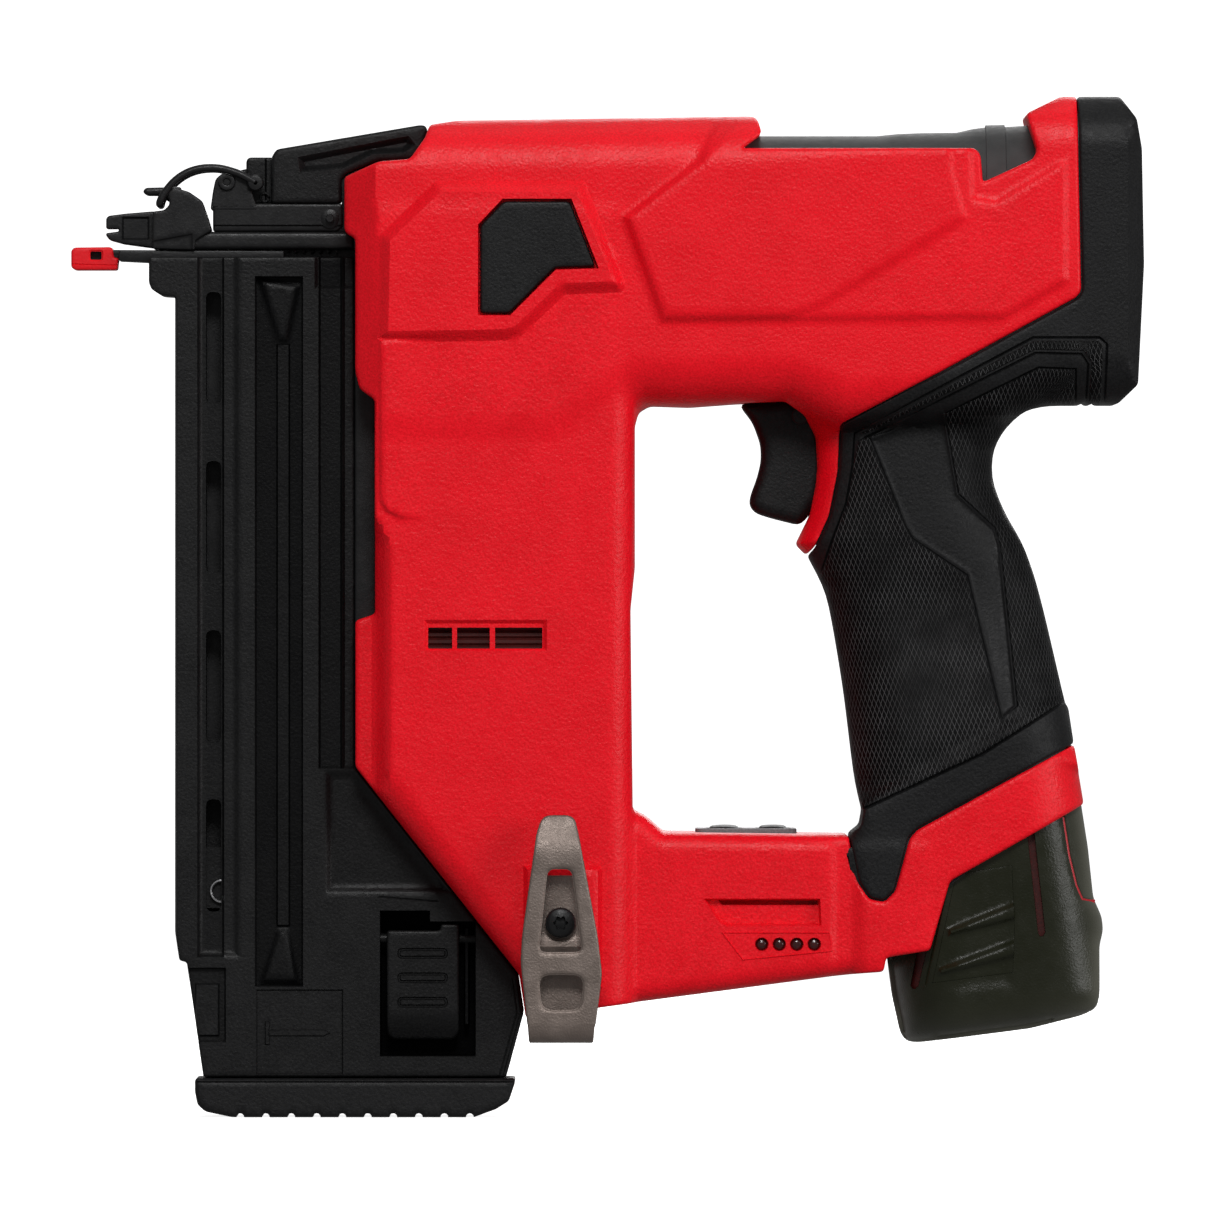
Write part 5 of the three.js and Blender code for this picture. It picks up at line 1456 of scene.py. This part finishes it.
def build_battery():
    """The case in two halves with its clips and slots, and the stem that goes up into the grip."""
    features = [(slot, -1.3, 0.2) for slot in SLOTS] + [THUMB_DIP]
    lines = [(ACCENT_LINE, 0.5, 1.0), ([(137, 54), (134.2, 41), (132, 31)], 0.35, 0.7)]
    form = Form(soften(BATTERY_OUTLINE, 1.2), battery_height, 0.9, features, lines)
    for side, word in SIDES:
        half = relief(form, 0.0, side, holes=[CLIP_OUTLINE], marks=battery_marks)
        add(f"pack_case_{word}", half, "battery", "battery_smoke", ["battery_case"] if side < 0 else [])
        build_battery_clip(side, word)
        build_battery_stripes(side, word)
    rings = [sleeve_ring(v, -18.4, 18, 11.8, 8.5) for v in (4, 20, 54)]
    rings.append(sleeve_ring(56, -17.2, 16.8, 10.8, 8))
    add("pack_stem", loft(rings), "battery", "black_plastic")


def build_battery_clip(side, word):
    """One squeeze clip with its two wedge-shaped ribs."""
    ribs = [rib(136.6, 43.6, 154, 50.6), rib(134.4, 34.6, 154, 42)]
    features = [THUMB_DIP] + [(outline, 1.3, 1.6) for outline in ribs]
    form = Form(inset(CLIP_OUTLINE, 0.05), battery_height, 0.05, features)
    clip = relief(form, shell(2.4), side, marks=battery_marks, closed=True, pitch=0.8)
    add(f"pack_clip_{word}", clip, f"clip_{word}", "battery_smoke", [f"battery_clip_{word}"])


def build_battery_stripes(side, word):
    """The red moulding seen in the case's slots, darkened with painted shade, and its thin accent line."""
    def below_case(depth):
        return lambda points: battery_height(points) - depth

    strips = [Form(inset(slot, 0.05), below_case(1.0), 0.1) for slot in SLOTS]
    slots = joined(*(relief(strip, shell(0.4), side, pitch=0.8) for strip in strips))
    add(f"pack_slots_{word}", slots, "battery", "battery_smoke", material=SLOT_RED)
    line = shift(ACCENT_LINE, 0.4) + shift(ACCENT_LINE, -0.4)[::-1]
    stripe = relief(Form(line, below_case(0.3), 0.1), shell(0.4), side, pitch=0.6)
    add(f"pack_stripe_{word}", stripe, "battery", "battery_smoke", material=ACCENT)


# ------------------------------------------------------------------ CAD nodes that stay
KEPT = {
    "black_plastic": ["pusher", "switch_module", "terminal_block", "cooling_fan"],
    "black_rubber": ["piston_bumper", "piston_seal"],
    "black_steel": ["ring_gear", "contact_spring"],
    "bright_steel": [
        "driver_blade", "lifter_wheel", "lifter_bearing_lower", "lifter_bearing_upper", "planet_gear_1",
        "planet_gear_2", "planet_gear_3", "motor_rotor", "latch_spring", "trigger_spring", "spring_roll",
        "spring_band",
    ],
    "aluminium": ["cylinder_liner", "piston", "drive_frame", "motor_end_cap"],
    "brass": ["fill_valve"],
    "motor_windings": ["motor_stator"],
    "circuit_board": ["control_board"],
}


def dress_cad_nodes():
    """Gives the CAD nodes that stay their materials."""
    for slot, names in KEPT.items():
        for name in names:
            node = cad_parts[name]
            for place in node.material_slots:
                place.link = "OBJECT"
                place.material = MATERIALS[slot]


# ------------------------------------------------------------------ stage, lights and camera
FRAME_WIDTH = 0.2792        # what the camera takes in at the middle plane, in metres
LENS, SENSOR = 600.0, 36.0
CAMERA_TARGET = (0.0591, 0.0, 0.1171)
BACKDROP_RADIUS, BACKDROP_SIDES = 10.0, 48


def stage_piece(name, mesh, glow):
    """A pale surface of the studio. It doesn't light the object."""
    n = Nodes(name)
    n.put("Base Color", n.mix(n.spread(n.noise(400, 2), 0, 1), (0.86, 0.86, 0.86), (0.89, 0.89, 0.89)))
    n.put("Roughness", 0.9)
    n.put("Emission Color", (1, 1, 1, 1))
    n.put("Emission Strength", glow)
    mesh.materials.append(n.material)
    piece = show(name, mesh)
    piece.visible_diffuse = False
    piece.visible_glossy = False
    piece.visible_shadow = False


def build_stage():
    """A round floor with a round wall far behind it."""
    count = BACKDROP_SIDES
    top = 1.4 * BACKDROP_RADIUS
    rim = circle(0, 0, BACKDROP_RADIUS, count)
    floor = bpy.data.meshes.new("floor")
    floor.from_pydata([(x, y, 0) for x, y in rim], [], [tuple(range(count))])
    stage_piece("floor", floor, 0.86)
    wall = bpy.data.meshes.new("backdrop")
    verts = [(x, y, z) for z in (-0.5, top) for x, y in rim] + [(0, 0, top)]
    roof = [(count + k, count + (k + 1) % count, 2 * count) for k in range(count)]
    wall.from_pydata(verts, [], ring_faces(2, count) + roof)
    stage_piece("backdrop", wall, 1.0)


def area_light(name, place, target, size, power):
    """A round soft light that faces its target."""
    lamp = bpy.data.lights.new(name, "AREA")
    lamp.shape, lamp.size, lamp.energy = "DISK", size, power
    lamp_object = show(name, lamp)
    lamp_object.location = place
    lamp_object.rotation_euler = (Vector(target) - Vector(place)).to_track_quat("-Z", "Y").to_euler()


def build_lights():
    """Four soft lights and a pale world."""
    middle = (0.06, 0, 0.12)
    area_light("key", (0.1, -1.6, 1.25), middle, 0.6, 21)
    area_light("fill", (1.7, -1.1, 0.5), middle, 0.9, 14)
    area_light("top", (0.1, 0.2, 1.7), middle, 0.9, 2)
    area_light("back", (0.3, 1.4, 0.7), middle, 1.0, 8)
    world = bpy.data.worlds.new("studio")
    world.use_nodes = True
    background = world.node_tree.nodes["Background"]
    background.inputs["Color"].default_value = (1, 1, 1, 1)
    background.inputs["Strength"].default_value = 0.27
    bpy.context.scene.world = world
    bpy.context.scene.view_settings.view_transform = "Standard"


def build_camera():
    """A long lens square to the tool's left side."""
    camera = bpy.data.cameras.new("camera")
    camera.lens, camera.sensor_width = LENS, SENSOR
    camera_object = show("camera", camera)
    x, y, z = CAMERA_TARGET
    camera_object.location = (x, y - FRAME_WIDTH * LENS / SENSOR, z)
    camera_object.rotation_euler = (math.pi / 2, 0, 0)
    camera.clip_end = 60
    bpy.context.scene.camera = camera_object


build_housing()
build_tank()
build_panel()
build_gauge()
build_hook()
build_magazine()
build_nose()
build_trigger()
build_battery()
dress_cad_nodes()
build_stage()
build_lights()
build_camera()
